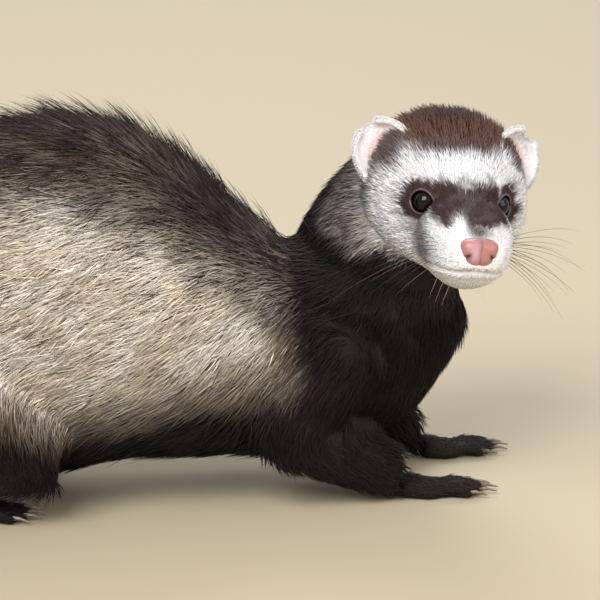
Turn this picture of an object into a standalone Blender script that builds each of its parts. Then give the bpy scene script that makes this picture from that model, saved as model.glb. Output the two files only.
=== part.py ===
"""A life-size standing ferret with an arched back and its head turned to its right.

The model is in metres with +Z up. The ferret faces +X, its left side is +Y, and its soles stand on Z = 0.
The rows of sizes below are in millimetres. The outline is that of the coat, out to the tips of the fur.
The animal is modelled as one fused body, which thin cuts part into named nodes.
"""

import math
import random

import bmesh
import bpy
import numpy as np
from mathutils import Matrix, Vector
from mathutils.bvhtree import BVHTree

# Clearance and fineness, in metres
GAP = 0.0003
BODY_VOXEL = 0.0014
FINE_VOXEL = 0.0007
CUTTER_REACH = 0.2

# Triangles kept on each fused surface before it is parted
BODY_TRIANGLES = 3250
HEAD_TRIANGLES = 2550
PAW_TRIANGLES = 240

# Coat locks, in millimetres: how far the core lies inside the tips at the spine, the flank and the tail
CORE_BACK = 5.0
CORE_FLANK = 3.0
CORE_TAIL = 4.0
LOCK_SEED = 7
LOCK_SINK = 3.6
LOCK_SHARES = (0, 0.3, 0.62, 0.86)  # along the lock, from its sunk root
LOCK_WIDTHS = (0.55, 1.0, 0.8, 0.42)  # of its half width
LOCK_DEPTHS = (1.5, 1.4, 1.0, 0.55)  # half thickness
LOCK_SPREAD = 20  # width of a trunk lock
LOCK_TIER = 23  # distance between tiers of trunk locks
LOCK_REACH = math.radians(118)  # how far round from the spine they grow
LOCK_FLOOR = 1.5  # lowest height of a lock
LOCK_BEND = math.radians(32)  # sharpest bend between two stretches of a lock
TAIL_LOCK_LENGTH = 26
TAIL_LOCKS = 3  # in each ring round the tail
TAIL_LOCK_SHARE = 0.62  # half width of a tail lock as a share of the core's radius
TAIL_RINGS = range(10, 32, 4)  # sections of the tail, four to each row of sizes, where rings of locks root
TAIL_BRUSH = -262  # x of the tail's end, towards which its core fills out to the tips

# Trunk sections: x, top, bottom, half width
TRUNK = (
    (95, 60, 49, 6),
    (90, 68, 40, 15),
    (81, 76, 28, 23),
    (66, 81, 17, 29),
    (52, 81, 13, 31),
    (40, 79, 12.5, 32),
    (28, 86.5, 12.5, 34),
    (14, 98.5, 13, 36.5),
    (0, 109, 13.5, 39),
    (-14, 115.5, 13, 40.5),
    (-28, 119.5, 11, 41.5),
    (-46, 119, 10.5, 42),
    (-62, 115.5, 14, 41),
    (-80, 108, 19, 38.5),
    (-98, 97, 26, 34),
    (-114, 83, 33, 27),
    (-127, 69, 41, 18),
    (-135, 60, 47, 8),
)

# Neck sections: x, y, z, half width, half depth above, half depth below
NECK = (
    (52, 3, 44, 25, 25, 25),
    (60, 3, 54, 27, 28, 28),
    (66, 4, 66, 27, 28, 28),
    (72.5, 3, 78, 26.5, 27, 26.5),
    (79, -3, 88, 25, 25, 25),
    (84, -11, 93, 23.5, 21, 23),
    (86, -20, 95, 20, 18, 20),
)

# Tail sections: x, y, z, radius
TAIL = (
    (-108, 0, 62, 17),
    (-122, 0, 57, 15),
    (-136, 0.5, 48, 13.5),
    (-150, 1.5, 38, 12.5),
    (-166, 3, 28, 12.2),
    (-184, 5, 20, 12),
    (-204, 7, 15.6, 11.8),
    (-224, 9, 14.2, 10.6),
    (-242, 10, 13.6, 8.6),
    (-256, 10.5, 13, 5.6),
    (-264, 10.8, 12.6, 2),
)

# Leg sections of one side, with y measured outwards: x, y, z, half width, half depth
NEAR_FORELEG = (
    (54, 18, 52, 17, 20),
    (42, 24, 37, 15, 16),
    (36, 26, 29, 13.5, 12.5),
    (42, 25, 23, 12, 9.8),
    (54, 22, 17, 11, 9.2),
    (64, 19.8, 11.2, 9.4, 8),
    (71, 18.6, 6.6, 6.6, 5.6),
    (77, 18.2, 3.2, 5.2, 2.8),
)
FAR_FORELEG = (
    (60, 17, 52, 17, 20),
    (62, 23, 36, 14.5, 15),
    (66, 23, 26, 11, 12),
    (72, 20, 17, 8.4, 9),
    (79, 17.4, 9.4, 6.6, 6.4),
    (84, 16.6, 5.8, 5.8, 4.8),
    (89, 16.2, 3.2, 5.2, 2.8),
)
HINDLEG = (
    (-94, 16, 74, 18, 26),
    (-82, 22, 62, 19, 28),
    (-64, 26, 47, 17.5, 25),
    (-43, 26.5, 28.5, 16, 16.5),
    (-46, 24, 18.5, 13, 12.5),
    (-62, 22.5, 14, 9.6, 9),
    (-77, 21, 11, 7.4, 7.4),
    (-86, 20.3, 7.6, 6.4, 6.4),
    (-80, 20, 4.8, 5.8, 4.4),
)

# Paws of one side: pad centre, heading outwards in degrees, length behind the pad
FOREPAW_NEAR = {"pad": (79.5, 18.2), "heading": -3, "heel": 6}
FOREPAW_FAR = {"pad": (91, 16.2), "heading": 6, "heel": 6}
HINDPAW = {"pad": (-58.5, 20), "heading": 2, "heel": 31}
TOE_SPREAD = (-17, -7, 2, 10, 19)  # degrees about the pad, from the inner toe to the outer
TOE_LENGTH = (8.0, 11.2, 12.4, 11.6, 9.2)
CLAW_LENGTH = 6.6
CLAW_RADIUS = 0.8

# Head: the point midway between the eyes, and the turn of the head
HEAD_AT = Vector((0.0849, -0.0360, 0.0963))
HEAD_YAW = math.radians(-87.5)
HEAD_ROLL = math.radians(-6)

# Head sections in the head's own frame: forwards, centre height, half width, height above, depth below,
# and the powers of the ovals above and below, where 2 is an ellipse, less is narrower and more is fuller
SKULL = (
    (24.6, -10.4, 3.2, 2.6, 2.6, 2, 2),
    (22.8, -10.2, 7.6, 4.8, 5.4, 2, 2),
    (19.5, -9.6, 10.4, 6.6, 8.8, 2, 2),
    (15, -8.6, 12.0, 8.4, 11.8, 2, 2),
    (10, -7.6, 13.4, 10.7, 14.2, 2, 2),
    (4, -6.2, 15.2, 13.4, 15.8, 2, 2.1),
    (-2, -5.2, 18.6, 17.0, 16.8, 1.85, 2.2),
    (-8, -4.4, 22.0, 20.8, 18.2, 1.72, 2.35),
    (-15, -3.4, 24.8, 23.6, 19.6, 1.6, 2.35),
    (-23, -2.6, 25.8, 25.0, 20.4, 1.56, 2.3),
    (-32, -2.2, 24.8, 24.0, 20.4, 1.62, 2.2),
    (-40, -2.0, 22.0, 20.6, 19.8, 1.8, 2),
    (-47, -2.4, 17.5, 15.4, 17.0, 2, 2),
    (-51, -2.5, 10, 9, 11, 2, 2),
)

# Eyes, in the head's frame and in millimetres
EYE_AT = Vector((-2.3, 9.8, -0.7))
EYE_AIM = Vector((0.70, 0.70, 0.10)).normalized()
EYE_RADIUS = 4.4
LID_RADIUS = 5.5
EYE_OPENING = (3.75, 3.4)

# Nose pad, in the head's frame
NOSE_AT = Vector((21.8, 0, -8.9))
NOSE_SIZE = (4.0, 5.7, 4.0)
NOSTRIL_AT = Vector((25.2, 3.5, -9.6))

# Mouth line, in the head's frame
MOUTH_CENTRE = Vector((8, 0, -14.4))
MOUTH_TURN = math.radians(96)
MOUTH_RADIUS = 0.55

# Ears, in the head's frame
EAR_AT = Vector((-20, 17.8, 6.8))
EAR_WIDTH = 20.0
EAR_HEIGHT = 12.4
EAR_THICKNESS = 2.2
EAR_CUP = 4.6
EAR_TRIANGLES = 380
EAR_TILT = math.radians(43)
EAR_TURN = math.radians(18)

COLOURS = {
    "coat_cream": (0.50, 0.42, 0.33),
    "coat_dark": (0.035, 0.022, 0.018),
    "coat_white": (0.62, 0.64, 0.66),
    "nose_pink": (0.52, 0.22, 0.20),
    "ear_pale": (0.62, 0.50, 0.49),
    "eye_dark": (0.012, 0.008, 0.008),
    "claw_dark": (0.07, 0.055, 0.05),
}
ROUGHNESS = {"eye_dark": 0.06, "nose_pink": 0.45, "claw_dark": 0.4}


def material(slot):
    """The coat or skin material of one slot."""
    found = bpy.data.materials.get(slot)
    if found:
        return found
    made = bpy.data.materials.new(slot)
    made.use_nodes = True
    shader = made.node_tree.nodes["Principled BSDF"]
    shader.inputs["Base Color"].default_value = (*COLOURS[slot], 1)
    shader.inputs["Roughness"].default_value = ROUGHNESS.get(slot, 0.8)
    shader.inputs["Metallic"].default_value = 0
    return made


def new_object(name, points, faces):
    """An object from points in metres and faces."""
    mesh = bpy.data.meshes.new(name)
    mesh.from_pydata([tuple(point) for point in points], [], [tuple(face) for face in faces])
    mesh.update()
    made = bpy.data.objects.new(name, mesh)
    bpy.context.collection.objects.link(made)
    return made


def evaluated(source):
    """Replaces an object's mesh with its modified mesh and drops the modifiers."""
    graph = bpy.context.evaluated_depsgraph_get()
    graph.update()
    mesh = bpy.data.meshes.new_from_object(source.evaluated_get(graph))
    source.modifiers.clear()
    source.data = mesh
    return source


def remove(things):
    """Takes helper objects out of the scene."""
    for thing in things:
        bpy.data.objects.remove(thing)


def curve_rows(rows, steps):
    """Rows of numbers with smoothly interpolated rows between them."""
    rows = np.array(rows, float)
    padded = np.vstack([2 * rows[0] - rows[1], rows, 2 * rows[-1] - rows[-2]])
    result = []
    for index in range(len(rows) - 1):
        before, start, end, after = padded[index : index + 4]
        for step in range(steps):
            t = step / steps
            result.append(
                0.5
                * (
                    2 * start
                    + (end - before) * t
                    + (2 * before - 5 * start + 4 * end - after) * t**2
                    + (3 * start - before - 3 * end + after) * t**3
                )
            )
    result.append(rows[-1])
    return np.array(result)


def tube_faces(rings, sides):
    """Faces of a tube of rings, each end closed by a fan to its own centre point."""
    faces = []
    for ring in range(rings - 1):
        for side in range(sides):
            after = (side + 1) % sides
            faces.append((ring * sides + side, ring * sides + after, (ring + 1) * sides + after))
            faces.append((ring * sides + side, (ring + 1) * sides + after, (ring + 1) * sides + side))
    first = rings * sides
    last = first + 1
    for side in range(sides):
        after = (side + 1) % sides
        faces.append((first, after, side))
        faces.append((last, (rings - 1) * sides + side, (rings - 1) * sides + after))
    return faces


def tube(name, sections, sides=32):
    """A closed tube through sections of centre, side, top and bottom vectors and the powers of their ovals."""
    points = []
    for centre, side, top, bottom, *powers in sections:
        above, below = powers or (2, 2)
        for index in range(sides):
            angle = 2 * math.pi * index / sides
            across = math.cos(angle)
            rise = math.sin(angle)
            bend = 2 / (above if rise > 0 else below)
            across = math.copysign(abs(across) ** bend, across)
            height = abs(rise) ** bend
            points.append(centre + side * across + (top if rise > 0 else bottom) * height)
    points.append(sections[0][0])
    points.append(sections[-1][0])
    made = new_object(name, [point * 0.001 for point in points], tube_faces(len(sections), sides))
    outward(made)
    return made


def outward(thing):
    """Turns every face of a closed object outwards."""
    work = bmesh.new()
    work.from_mesh(thing.data)
    bmesh.ops.recalc_face_normals(work, faces=work.faces)
    work.to_mesh(thing.data)
    work.free()


def path_tube(name, rows, steps=5, sides=28, upright=Vector((0, 0, 1))):
    """A tube along a bent path: rows of x, y, z, half width, half depth above and below."""
    rows = [tuple(row) + (row[-1],) * (6 - len(row)) for row in rows]
    rows = curve_rows(rows, steps)
    centres = [Vector(row[:3]) for row in rows]
    sections = []
    for index, row in enumerate(rows):
        ahead = centres[min(index + 1, len(centres) - 1)] - centres[max(index - 1, 0)]
        side = ahead.cross(upright)
        side.normalize()
        top = side.cross(ahead).normalized()
        sections.append((centres[index], side * row[3], top * row[4], top * -row[5]))
    return tube(name, sections, sides)


def trunk():
    """The trunk, through upright sections."""
    sections = []
    for x, top, bottom, width in curve_rows(TRUNK, 4):
        slim = eased((72 - x) / 30)
        top -= CORE_BACK * slim
        width -= CORE_FLANK * slim
        middle = bottom + (top - bottom) * 0.46
        centre = Vector((x, 0, middle))
        sections.append((centre, Vector((0, width, 0)), Vector((0, 0, top - middle)), Vector((0, 0, bottom - middle))))
    return tube("trunk", sections, 48)


def head_matrix():
    """The head's frame: x forwards, y to its left, z up, in metres."""
    turn = Matrix.Rotation(HEAD_YAW, 4, "Z") @ Matrix.Rotation(HEAD_ROLL, 4, "X")
    return Matrix.Translation(HEAD_AT) @ turn


def head_point(point):
    """A point of the head's frame, in millimetres, as a point of the model, in metres."""
    return head_matrix() @ (Vector(point) * 0.001)


def skull():
    """The head with its muzzle, cheeks and crown, as a tube along the head's own axis."""
    sections = []
    for ahead, middle, width, top, bottom, above, below in curve_rows(SKULL, 4):
        centre = Vector((ahead, 0, middle))
        upward = Vector((0, 0, top))
        sections.append((centre, Vector((0, width, 0)), upward, Vector((0, 0, -bottom)), above, below))
    made = tube("skull", sections, 48)
    made.data.transform(head_matrix())
    return made


def ball(name, centre, size, turn=None, level=3, sides=0):
    """An ellipsoid from an icosphere, or a sphere of so many sides, in millimetres, at a point of the model."""
    work = bmesh.new()
    if sides:
        bmesh.ops.create_uvsphere(work, u_segments=sides, v_segments=sides // 2, radius=1)
    else:
        bmesh.ops.create_icosphere(work, subdivisions=level, radius=1)
    mesh = bpy.data.meshes.new(name)
    work.to_mesh(mesh)
    work.free()
    made = bpy.data.objects.new(name, mesh)
    bpy.context.collection.objects.link(made)
    sized = Matrix.Diagonal((size[0] * 0.001, size[1] * 0.001, size[2] * 0.001, 1))
    turned = turn.to_4x4() if turn else Matrix.Identity(4)
    mesh.transform(Matrix.Translation(Vector(centre) * 0.001) @ turned @ sized)
    return made


def join(name, things):
    """One object with the meshes of several, all left as they are."""
    points = []
    faces = []
    for thing in things:
        start = len(points)
        points.extend(vertex.co.copy() for vertex in thing.data.vertices)
        faces.extend(tuple(start + index for index in polygon.vertices) for polygon in thing.data.polygons)
    made = new_object(name, points, faces)
    remove(things)
    return made


def fused(name, things, voxel, smoothing):
    """Closed shapes fused to one smooth skin."""
    made = join(name, things)
    grid = made.modifiers.new("Fuse", "REMESH")
    grid.mode = "VOXEL"
    grid.voxel_size = voxel
    soft = made.modifiers.new("Soften", "SMOOTH")
    soft.factor = 0.5
    soft.iterations = smoothing
    evaluated(made)
    return keep_largest(made)


def thin(thing, triangles, plainness=None):
    """Lowers an object to about the given number of triangles, more so where its plainness is high."""
    count = sum(len(polygon.vertices) - 2 for polygon in thing.data.polygons)
    if count > triangles:
        less = thing.modifiers.new("Thin", "DECIMATE")
        less.ratio = triangles / count
        less.use_collapse_triangulate = True
        if plainness:
            group = thing.vertex_groups.new(name="plain")
            for vertex in thing.data.vertices:
                group.add([vertex.index], plainness(vertex.co), "REPLACE")
            less.vertex_group = group.name
            less.vertex_group_factor = 1
        evaluated(thing)
        thing.vertex_groups.clear()
    return thing


def face_plainness(point):
    """How plain the head is at a point: low round the eyes, nose and mouth."""
    place = (head_matrix().inverted() @ point) * 1000
    eyes = min((place - Vector((EYE_AT.x + 2, side * (EYE_AT.y + 3), EYE_AT.z))).length for side in (1, -1))
    snout = (place - NOSE_AT).length
    return 0.12 + 0.88 * eased((min(eyes - 4, snout - 4) - 2) / 16)


def keep_largest(thing):
    """Drops loose scraps, keeping the closed surface with the most area."""
    work = bmesh.new()
    work.from_mesh(thing.data)
    unseen = set(work.faces)
    best = []
    best_area = -1
    while unseen:
        seed = unseen.pop()
        island = [seed]
        stack = [seed]
        while stack:
            face = stack.pop()
            for edge in face.edges:
                for other in edge.link_faces:
                    if other in unseen:
                        unseen.remove(other)
                        island.append(other)
                        stack.append(other)
        area = sum(face.calc_area() for face in island)
        if area > best_area:
            best = island
            best_area = area
    kept = set(best)
    bmesh.ops.delete(work, geom=[face for face in work.faces if face not in kept], context="FACES")
    work.to_mesh(thing.data)
    work.free()
    return thing


def copy_of(thing, name):
    """A separate copy of an object and its mesh."""
    made = thing.copy()
    made.data = thing.data.copy()
    made.name = name
    bpy.context.collection.objects.link(made)
    return made


def cut(thing, other, operation="DIFFERENCE", solver="EXACT"):
    """A Boolean of one object with another, kept as its result."""
    tool = thing.modifiers.new("Cut", "BOOLEAN")
    tool.operation = operation
    tool.solver = solver
    tool.object = other
    return evaluated(thing)


def block(name, centre, size, turn, grow=0.0):
    """A box cutter with its centre and sizes in millimetres and its turn as a matrix."""
    work = bmesh.new()
    bmesh.ops.create_cube(work, size=1)
    mesh = bpy.data.meshes.new(name)
    work.to_mesh(mesh)
    work.free()
    made = bpy.data.objects.new(name, mesh)
    bpy.context.collection.objects.link(made)
    sized = Matrix.Diagonal((*(length * 0.001 + grow for length in size), 1))
    mesh.transform(Matrix.Translation(Vector(centre) * 0.001) @ turn.to_4x4() @ sized)
    made.hide_render = True
    made.display_type = "WIRE"
    return made


def taken(body, name, region):
    """The part of a body inside a box, and the body left outside it, a gap apart."""
    centre, size, turn = region
    inner = block("inner", centre, size, turn, -GAP)
    outer = block("outer", centre, size, turn, GAP)
    piece = cut(copy_of(body, name), inner, "INTERSECT")
    keep_largest(piece)
    cut(body, outer)
    keep_largest(body)
    remove([inner, outer])
    return piece


def kept_inside(thing, region, grow=-GAP):
    """The part of one object inside a box."""
    centre, size, turn = region
    inner = block("inner", centre, size, turn, grow)
    cut(thing, inner, "INTERSECT")
    remove([inner])
    return keep_largest(thing)


def fattened(thing, name, distance):
    """A copy of an object with its skin moved out along its normals."""
    made = copy_of(thing, name)
    work = bmesh.new()
    work.from_mesh(made.data)
    work.normal_update()
    moves = [(vertex, vertex.co + vertex.normal * distance) for vertex in work.verts]
    for vertex, place in moves:
        vertex.co = place
    work.to_mesh(made.data)
    work.free()
    made.hide_render = True
    made.display_type = "WIRE"
    return made


def finish(thing, name, slot):
    """Names a node, gives it its material and shades it smooth."""
    thing.name = name
    thing.data.name = name
    thing.data.materials.clear()
    thing.data.materials.append(material(slot))
    for polygon in thing.data.polygons:
        polygon.material_index = 0
    thing.data.shade_smooth()
    thing.data.set_sharp_from_angle(angle=math.radians(50))
    thing.hide_render = False
    return thing


def paw_frame(paw, side):
    """The centre of a paw's pad on the floor and its heading, for side 1 (left) or -1 (right)."""
    x, outwards = paw["pad"]
    heading = math.radians(paw["heading"]) * side
    return Vector((x, outwards * side, 0)), heading


def toe_rows(paw, side):
    """For each toe, its root, tip and direction, in millimetres."""
    centre, heading = paw_frame(paw, side)
    rows = []
    for spread, length in zip(TOE_SPREAD, TOE_LENGTH):
        angle = heading + math.radians(spread) * side
        ahead = Vector((math.cos(angle), math.sin(angle), 0))
        start = heading + math.radians(spread * 2.2) * side
        root = centre + Vector((math.cos(start), math.sin(start), 0)) * 4.4 + Vector((0, 0, 2.4))
        tip = root + ahead * length + Vector((0, 0, -0.5))
        rows.append((root, tip, ahead))
    return rows


def paw_shapes(paw, side):
    """The pad, heel and toes of one paw, as overlapping closed shapes."""
    centre, heading = paw_frame(paw, side)
    ahead = Vector((math.cos(heading), math.sin(heading), 0))
    turn = Matrix.Rotation(heading, 3, "Z")
    shapes = [ball("pad", centre + Vector((0, 0, 2.2)), (8.0, 6.6, 2.9), turn)]
    back = centre - ahead * paw["heel"]
    rows = []
    for share in (0, 0.25, 0.5, 0.75, 1):
        place = back.lerp(centre, share)
        rows.append((place.x, place.y, 3.5 - share * 0.9, 5.2 + share * 0.8, 3.7 - share * 0.9))
    shapes.append(path_tube("heel", rows))
    shapes.append(ball("heel_end", back + Vector((0, 0, 3.6)), (5.2, 5.2, 3.9), turn))
    for root, tip, _ in toe_rows(paw, side):
        middle = root.lerp(tip, 0.55) + Vector((0, 0, 0.5))
        rows = [(*root, 2.2, 2.2), (*middle, 2.0, 2.1), (*root.lerp(tip, 0.85), 1.9, 1.9), (*tip, 1.4, 1.4)]
        shapes.append(path_tube("toe", rows, sides=16))
        shapes.append(ball("toe_tip", root.lerp(tip, 0.86), (2.4, 2.0, 2.0), turn, 2))
    return shapes


def claw(name, tip_of_toe, ahead, grow=0.0):
    """A curved tapered claw whose root sits in the toe; grow widens it for its socket."""
    sections = []
    shares = (0, 0.5, 0.95) if not grow else (-0.06, 0.4, 0.7)
    for share in shares:
        along = (share * CLAW_LENGTH) - 1.4
        drop = -1.9 * share * share + 0.9 * share
        centre = tip_of_toe + ahead * along + Vector((0, 0, drop + 0.35))
        radius = CLAW_RADIUS * (1.0 - 0.82 * max(share, 0) ** 1.3) + grow
        side = ahead.cross(Vector((0, 0, 1)))
        slope = Vector((0, 0, -3.8 * share + 0.9)) + ahead * CLAW_LENGTH
        top = side.cross(slope).normalized()
        sections.append((centre, side * radius * 0.85, top * radius, top * -radius))
    return tube(name, sections, 5)


def build_paw(name, paw, side, region):
    """One paw with its claws: the fused paw inside its region, with a socket for each claw."""
    made = thin(fused(name, paw_shapes(paw, side), FINE_VOXEL, 4), PAW_TRIANGLES)
    kept_inside(made, region)
    floor = block("floor", (paw["pad"][0], 0, -CUTTER_REACH * 500), (300, 300, CUTTER_REACH * 1000), Matrix.Identity(3))
    cut(made, floor)
    remove([floor])
    claws = []
    for index, (_, tip, ahead) in enumerate(toe_rows(paw, side)):
        socket = claw("socket", tip, ahead, GAP * 1000)
        cut(made, socket)
        remove([socket])
        nail = claw(f"{name}_claw_{index + 1}", tip, ahead)
        claws.append(finish(nail, f"{name}_claw_{index + 1}", "claw_dark"))
    keep_largest(made)
    return finish(made, name, "coat_dark")


def eased(share):
    """A share between 0 and 1 that starts and ends softly."""
    share = min(max(share, 0), 1)
    return share * share * (3 - 2 * share)


def shaped_lids(head):
    """Draws the skin round each eye to a low dome that the lids are cut from."""
    frame = head_matrix()
    inverse = frame.inverted()
    for vertex in head.data.vertices:
        place = (inverse @ vertex.co) * 1000
        for side in (1, -1):
            centre = Vector((EYE_AT.x, EYE_AT.y * side, EYE_AT.z))
            aim = Vector((EYE_AIM.x, EYE_AIM.y * side, EYE_AIM.z))
            ray = place - centre
            reach = ray.length
            turn = aim.angle(ray)
            share = eased(1 - (turn - math.radians(44)) / math.radians(40)) * eased((14 - reach) / 5)
            place = centre + ray.normalized() * (reach + (LID_RADIUS - reach) * share)
        vertex.co = frame @ (place * 0.001)
    return head


def prism(name, outline, near, far, frame):
    """A closed prism from an outline in the y-z plane of a frame, in millimetres, from near to far along x."""
    count = len(outline)
    points = [Vector((near, *point)) for point in outline] + [Vector((far, *point)) for point in outline]
    faces = [tuple(range(count)), tuple(reversed(range(count, 2 * count)))]
    for index in range(count):
        after = (index + 1) % count
        faces.append((index, count + index, count + after, after))
    made = new_object(name, [frame @ (point * 0.001) for point in points], faces)
    outward(made)
    return made


def aim_frame(centre, aim):
    """A frame at a point of the head whose x axis follows an aim, with y level."""
    ahead = aim.normalized()
    across = Vector((0, 0, 1)).cross(ahead).normalized()
    rise = ahead.cross(across)
    turn = Matrix((ahead, across, rise)).transposed().to_4x4()
    return head_matrix() @ Matrix.Translation(centre * 0.001) @ turn


def lid_opening(side):
    """The opening between the lids: an oval with two pointed corners."""
    half, height = EYE_OPENING
    outline = []
    count = 20
    for index in range(count):
        angle = 2 * math.pi * index / count
        stretch = 1 + 0.05 * abs(math.cos(angle)) ** 6
        outline.append((half * math.cos(angle) * stretch, height * math.sin(angle)))
    centre = Vector((EYE_AT.x, EYE_AT.y * side, EYE_AT.z))
    aim = Vector((EYE_AIM.x, EYE_AIM.y * side, EYE_AIM.z))
    return prism("opening", outline, 1.0, 12, aim_frame(centre, aim))


def eye(name, side, grow=0.0):
    """One eyeball, or its socket when it is grown by the gap."""
    centre = Vector((EYE_AT.x, EYE_AT.y * side, EYE_AT.z))
    radius = EYE_RADIUS + grow
    made = ball(name, (0, 0, 0), (radius, radius, radius), sides=16)
    made.data.transform(head_matrix() @ Matrix.Translation(centre * 0.001))
    return made


def nose_pad(name):
    """The nose pad: broad above, narrow below, flat in front, with a middle furrow and two nostrils."""
    work = bmesh.new()
    bmesh.ops.create_uvsphere(work, u_segments=18, v_segments=9, radius=1)
    for vertex in work.verts:
        x, y, z = vertex.co
        squared = (abs(y) ** 3 + abs(z) ** 3 + abs(x) ** 3) ** (1 / 3)
        x, y, z = x / squared, y / squared, z / squared
        taper = 0.78 + 0.24 * z
        furrow = 0.5 * math.exp(-((y * taper / 0.11) ** 2)) * (x > 0)
        vertex.co = Vector((x * NOSE_SIZE[0] - furrow, y * NOSE_SIZE[1] * taper, z * NOSE_SIZE[2]))
    mesh = bpy.data.meshes.new(name)
    work.to_mesh(mesh)
    work.free()
    made = bpy.data.objects.new(name, mesh)
    bpy.context.collection.objects.link(made)
    mesh.transform(Matrix.Diagonal((0.001, 0.001, 0.001, 1)))
    mesh.transform(head_matrix() @ Matrix.Translation(NOSE_AT * 0.001) @ Matrix.Rotation(math.radians(-8), 4, "Y"))
    return made


def nostril(side):
    """A slanted comma-shaped hollow of the nose pad."""
    turn = Matrix.Rotation(math.radians(38) * side, 3, "X")
    made = ball("nostril", (0, 0, 0), (2.4, 0.85, 1.6), turn, sides=8)
    place = Vector((NOSTRIL_AT.x, NOSTRIL_AT.y * side, NOSTRIL_AT.z))
    made.data.transform(head_matrix() @ Matrix.Translation(place * 0.001))
    return made


def surface_tree(thing):
    """A search tree of an object's faces."""
    points = [vertex.co for vertex in thing.data.vertices]
    faces = [tuple(polygon.vertices) for polygon in thing.data.polygons]
    return BVHTree.FromPolygons(points, faces)


def mouth_line(head):
    """The line of the mouth round the muzzle, as a thin tube that the groove is cut with."""
    tree = surface_tree(head)
    frame = head_matrix()
    rows = []
    count = 21
    for index in range(count):
        share = 2 * index / (count - 1) - 1
        angle = MOUTH_TURN * share
        droop = 1.7 * share * share - 0.5 * math.cos(share * math.pi * 3) * math.exp(-((share / 0.3) ** 2))
        inner = MOUTH_CENTRE + Vector((0, 0, -droop))
        ahead = Vector((math.cos(angle), math.sin(angle), 0))
        start = frame @ ((inner + ahead * 40) * 0.001)
        aim = (frame.to_3x3() @ -ahead).normalized()
        hit = tree.ray_cast(start, aim)[0]
        rows.append((*(hit * 1000), MOUTH_RADIUS, MOUTH_RADIUS))
    return path_tube("mouth_line", rows, 1, 6)


def lip_cleft(head):
    """The short groove from the nose pad down to the mouth."""
    tree = surface_tree(head)
    frame = head_matrix()
    rows = []
    for height in (-10.2, -11.2, -12.2, -13.2):
        start = frame @ (Vector((40, 0, height)) * 0.001)
        aim = (frame.to_3x3() @ Vector((-1, 0, 0))).normalized()
        hit = tree.ray_cast(start, aim)[0]
        rows.append((*(hit * 1000), MOUTH_RADIUS, MOUTH_RADIUS))
    return path_tube("lip_cleft", rows, 1, 6, Vector((1, 0, 0)))


def ear(name, side, head):
    """One rounded cupped ear, its root following the head a gap away."""
    columns = 9
    rows = 7
    points = []
    for row in range(rows):
        up = -0.4 + 1.4 * row / (rows - 1)
        width = math.sqrt(1 - (max(up, 0) / 1.04) ** 2.4)
        width *= 1 - 0.3 * max(-up, 0)
        for column in range(columns):
            across = 2 * column / (columns - 1) - 1
            bend = math.radians(72) * across
            reach = math.sin(bend) / math.sin(math.radians(72))
            cup = EAR_CUP * (1 - math.cos(bend)) / (1 - math.cos(math.radians(72)))
            lean = -2.0 * up * abs(up)
            points.append(Vector((cup + lean - 3.0, EAR_WIDTH * 0.5 * width * reach, EAR_HEIGHT * up)))
    faces = []
    for row in range(rows - 1):
        for column in range(columns - 1):
            start = row * columns + column
            faces.append((start, start + 1, start + columns + 1, start + columns))
    made = new_object(name, [point * 0.001 for point in points], faces)
    shell = made.modifiers.new("Shell", "SOLIDIFY")
    shell.thickness = EAR_THICKNESS * 0.001
    shell.offset = 0
    rounded = made.modifiers.new("Round", "SUBSURF")
    rounded.levels = 2
    rounded.render_levels = 2
    thin(evaluated(made), EAR_TRIANGLES)
    turn = (
        Matrix.Rotation(EAR_TURN * side, 4, "Z")
        @ Matrix.Rotation(-EAR_TILT * side, 4, "X")
        @ Matrix.Rotation(math.radians(-6), 4, "Y")
    )
    place = Vector((EAR_AT.x, EAR_AT.y * side, EAR_AT.z))
    made.data.transform(head_matrix() @ Matrix.Translation(place * 0.001) @ turn)
    outward(made)
    wide = fattened(head, "head_room", GAP)
    cut(made, wide)
    remove([wide])
    return finish(keep_largest(made), name, "ear_pale")


def build_head(head):
    """The head's lids, eyes, nose, mouth and ears."""
    for side, name in ((1, "eye_left"), (-1, "eye_right")):
        socket = eye("socket", side, GAP * 1000)
        cut(head, socket)
        opening = lid_opening(side)
        cut(head, opening)
        remove([socket, opening])
        finish(eye(name, side), name, "eye_dark")
    groove = mouth_line(head)
    cleft = lip_cleft(head)
    cut(head, groove)
    cut(head, cleft)
    remove([groove, cleft])
    nose = nose_pad("nose")
    room = fattened(nose, "nose_room", GAP)
    cut(head, room)
    remove([room])
    for side in (1, -1):
        hollow = nostril(side)
        cut(nose, hollow)
        remove([hollow])
    finish(keep_largest(nose), "nose", "nose_pink")
    keep_largest(head)
    ear("ear_left", 1, head)
    ear("ear_right", -1, head)
    return finish(head, "head", "coat_white")


def lock(points, normals, half_width):
    """A flat tapered lock through points in millimetres: four-sided rings and a sharp tip."""
    rows = []
    count = len(points)
    for index in range(count - 1):
        ahead = points[min(index + 1, count - 1)] - points[max(index - 1, 0)]
        side = ahead.cross(normals[index]).normalized() * half_width * LOCK_WIDTHS[index]
        rise = side.cross(ahead).normalized() * LOCK_DEPTHS[index]
        if rise.dot(normals[index]) < 0:
            rise = -rise
        rows.extend((points[index] + side, points[index] + rise, points[index] - side, points[index] - rise))
    rows.append(points[-1])
    tip = len(rows) - 1
    faces = [(0, 1, 2), (0, 2, 3)]
    for ring in range(count - 2):
        for corner in range(4):
            near = ring * 4 + corner
            after = ring * 4 + (corner + 1) % 4
            faces.append((near, after, after + 4))
            faces.append((near, after + 4, near + 4))
    last = (count - 2) * 4
    for corner in range(4):
        faces.append((last + corner, last + (corner + 1) % 4, tip))
    return rows, faces


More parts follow.
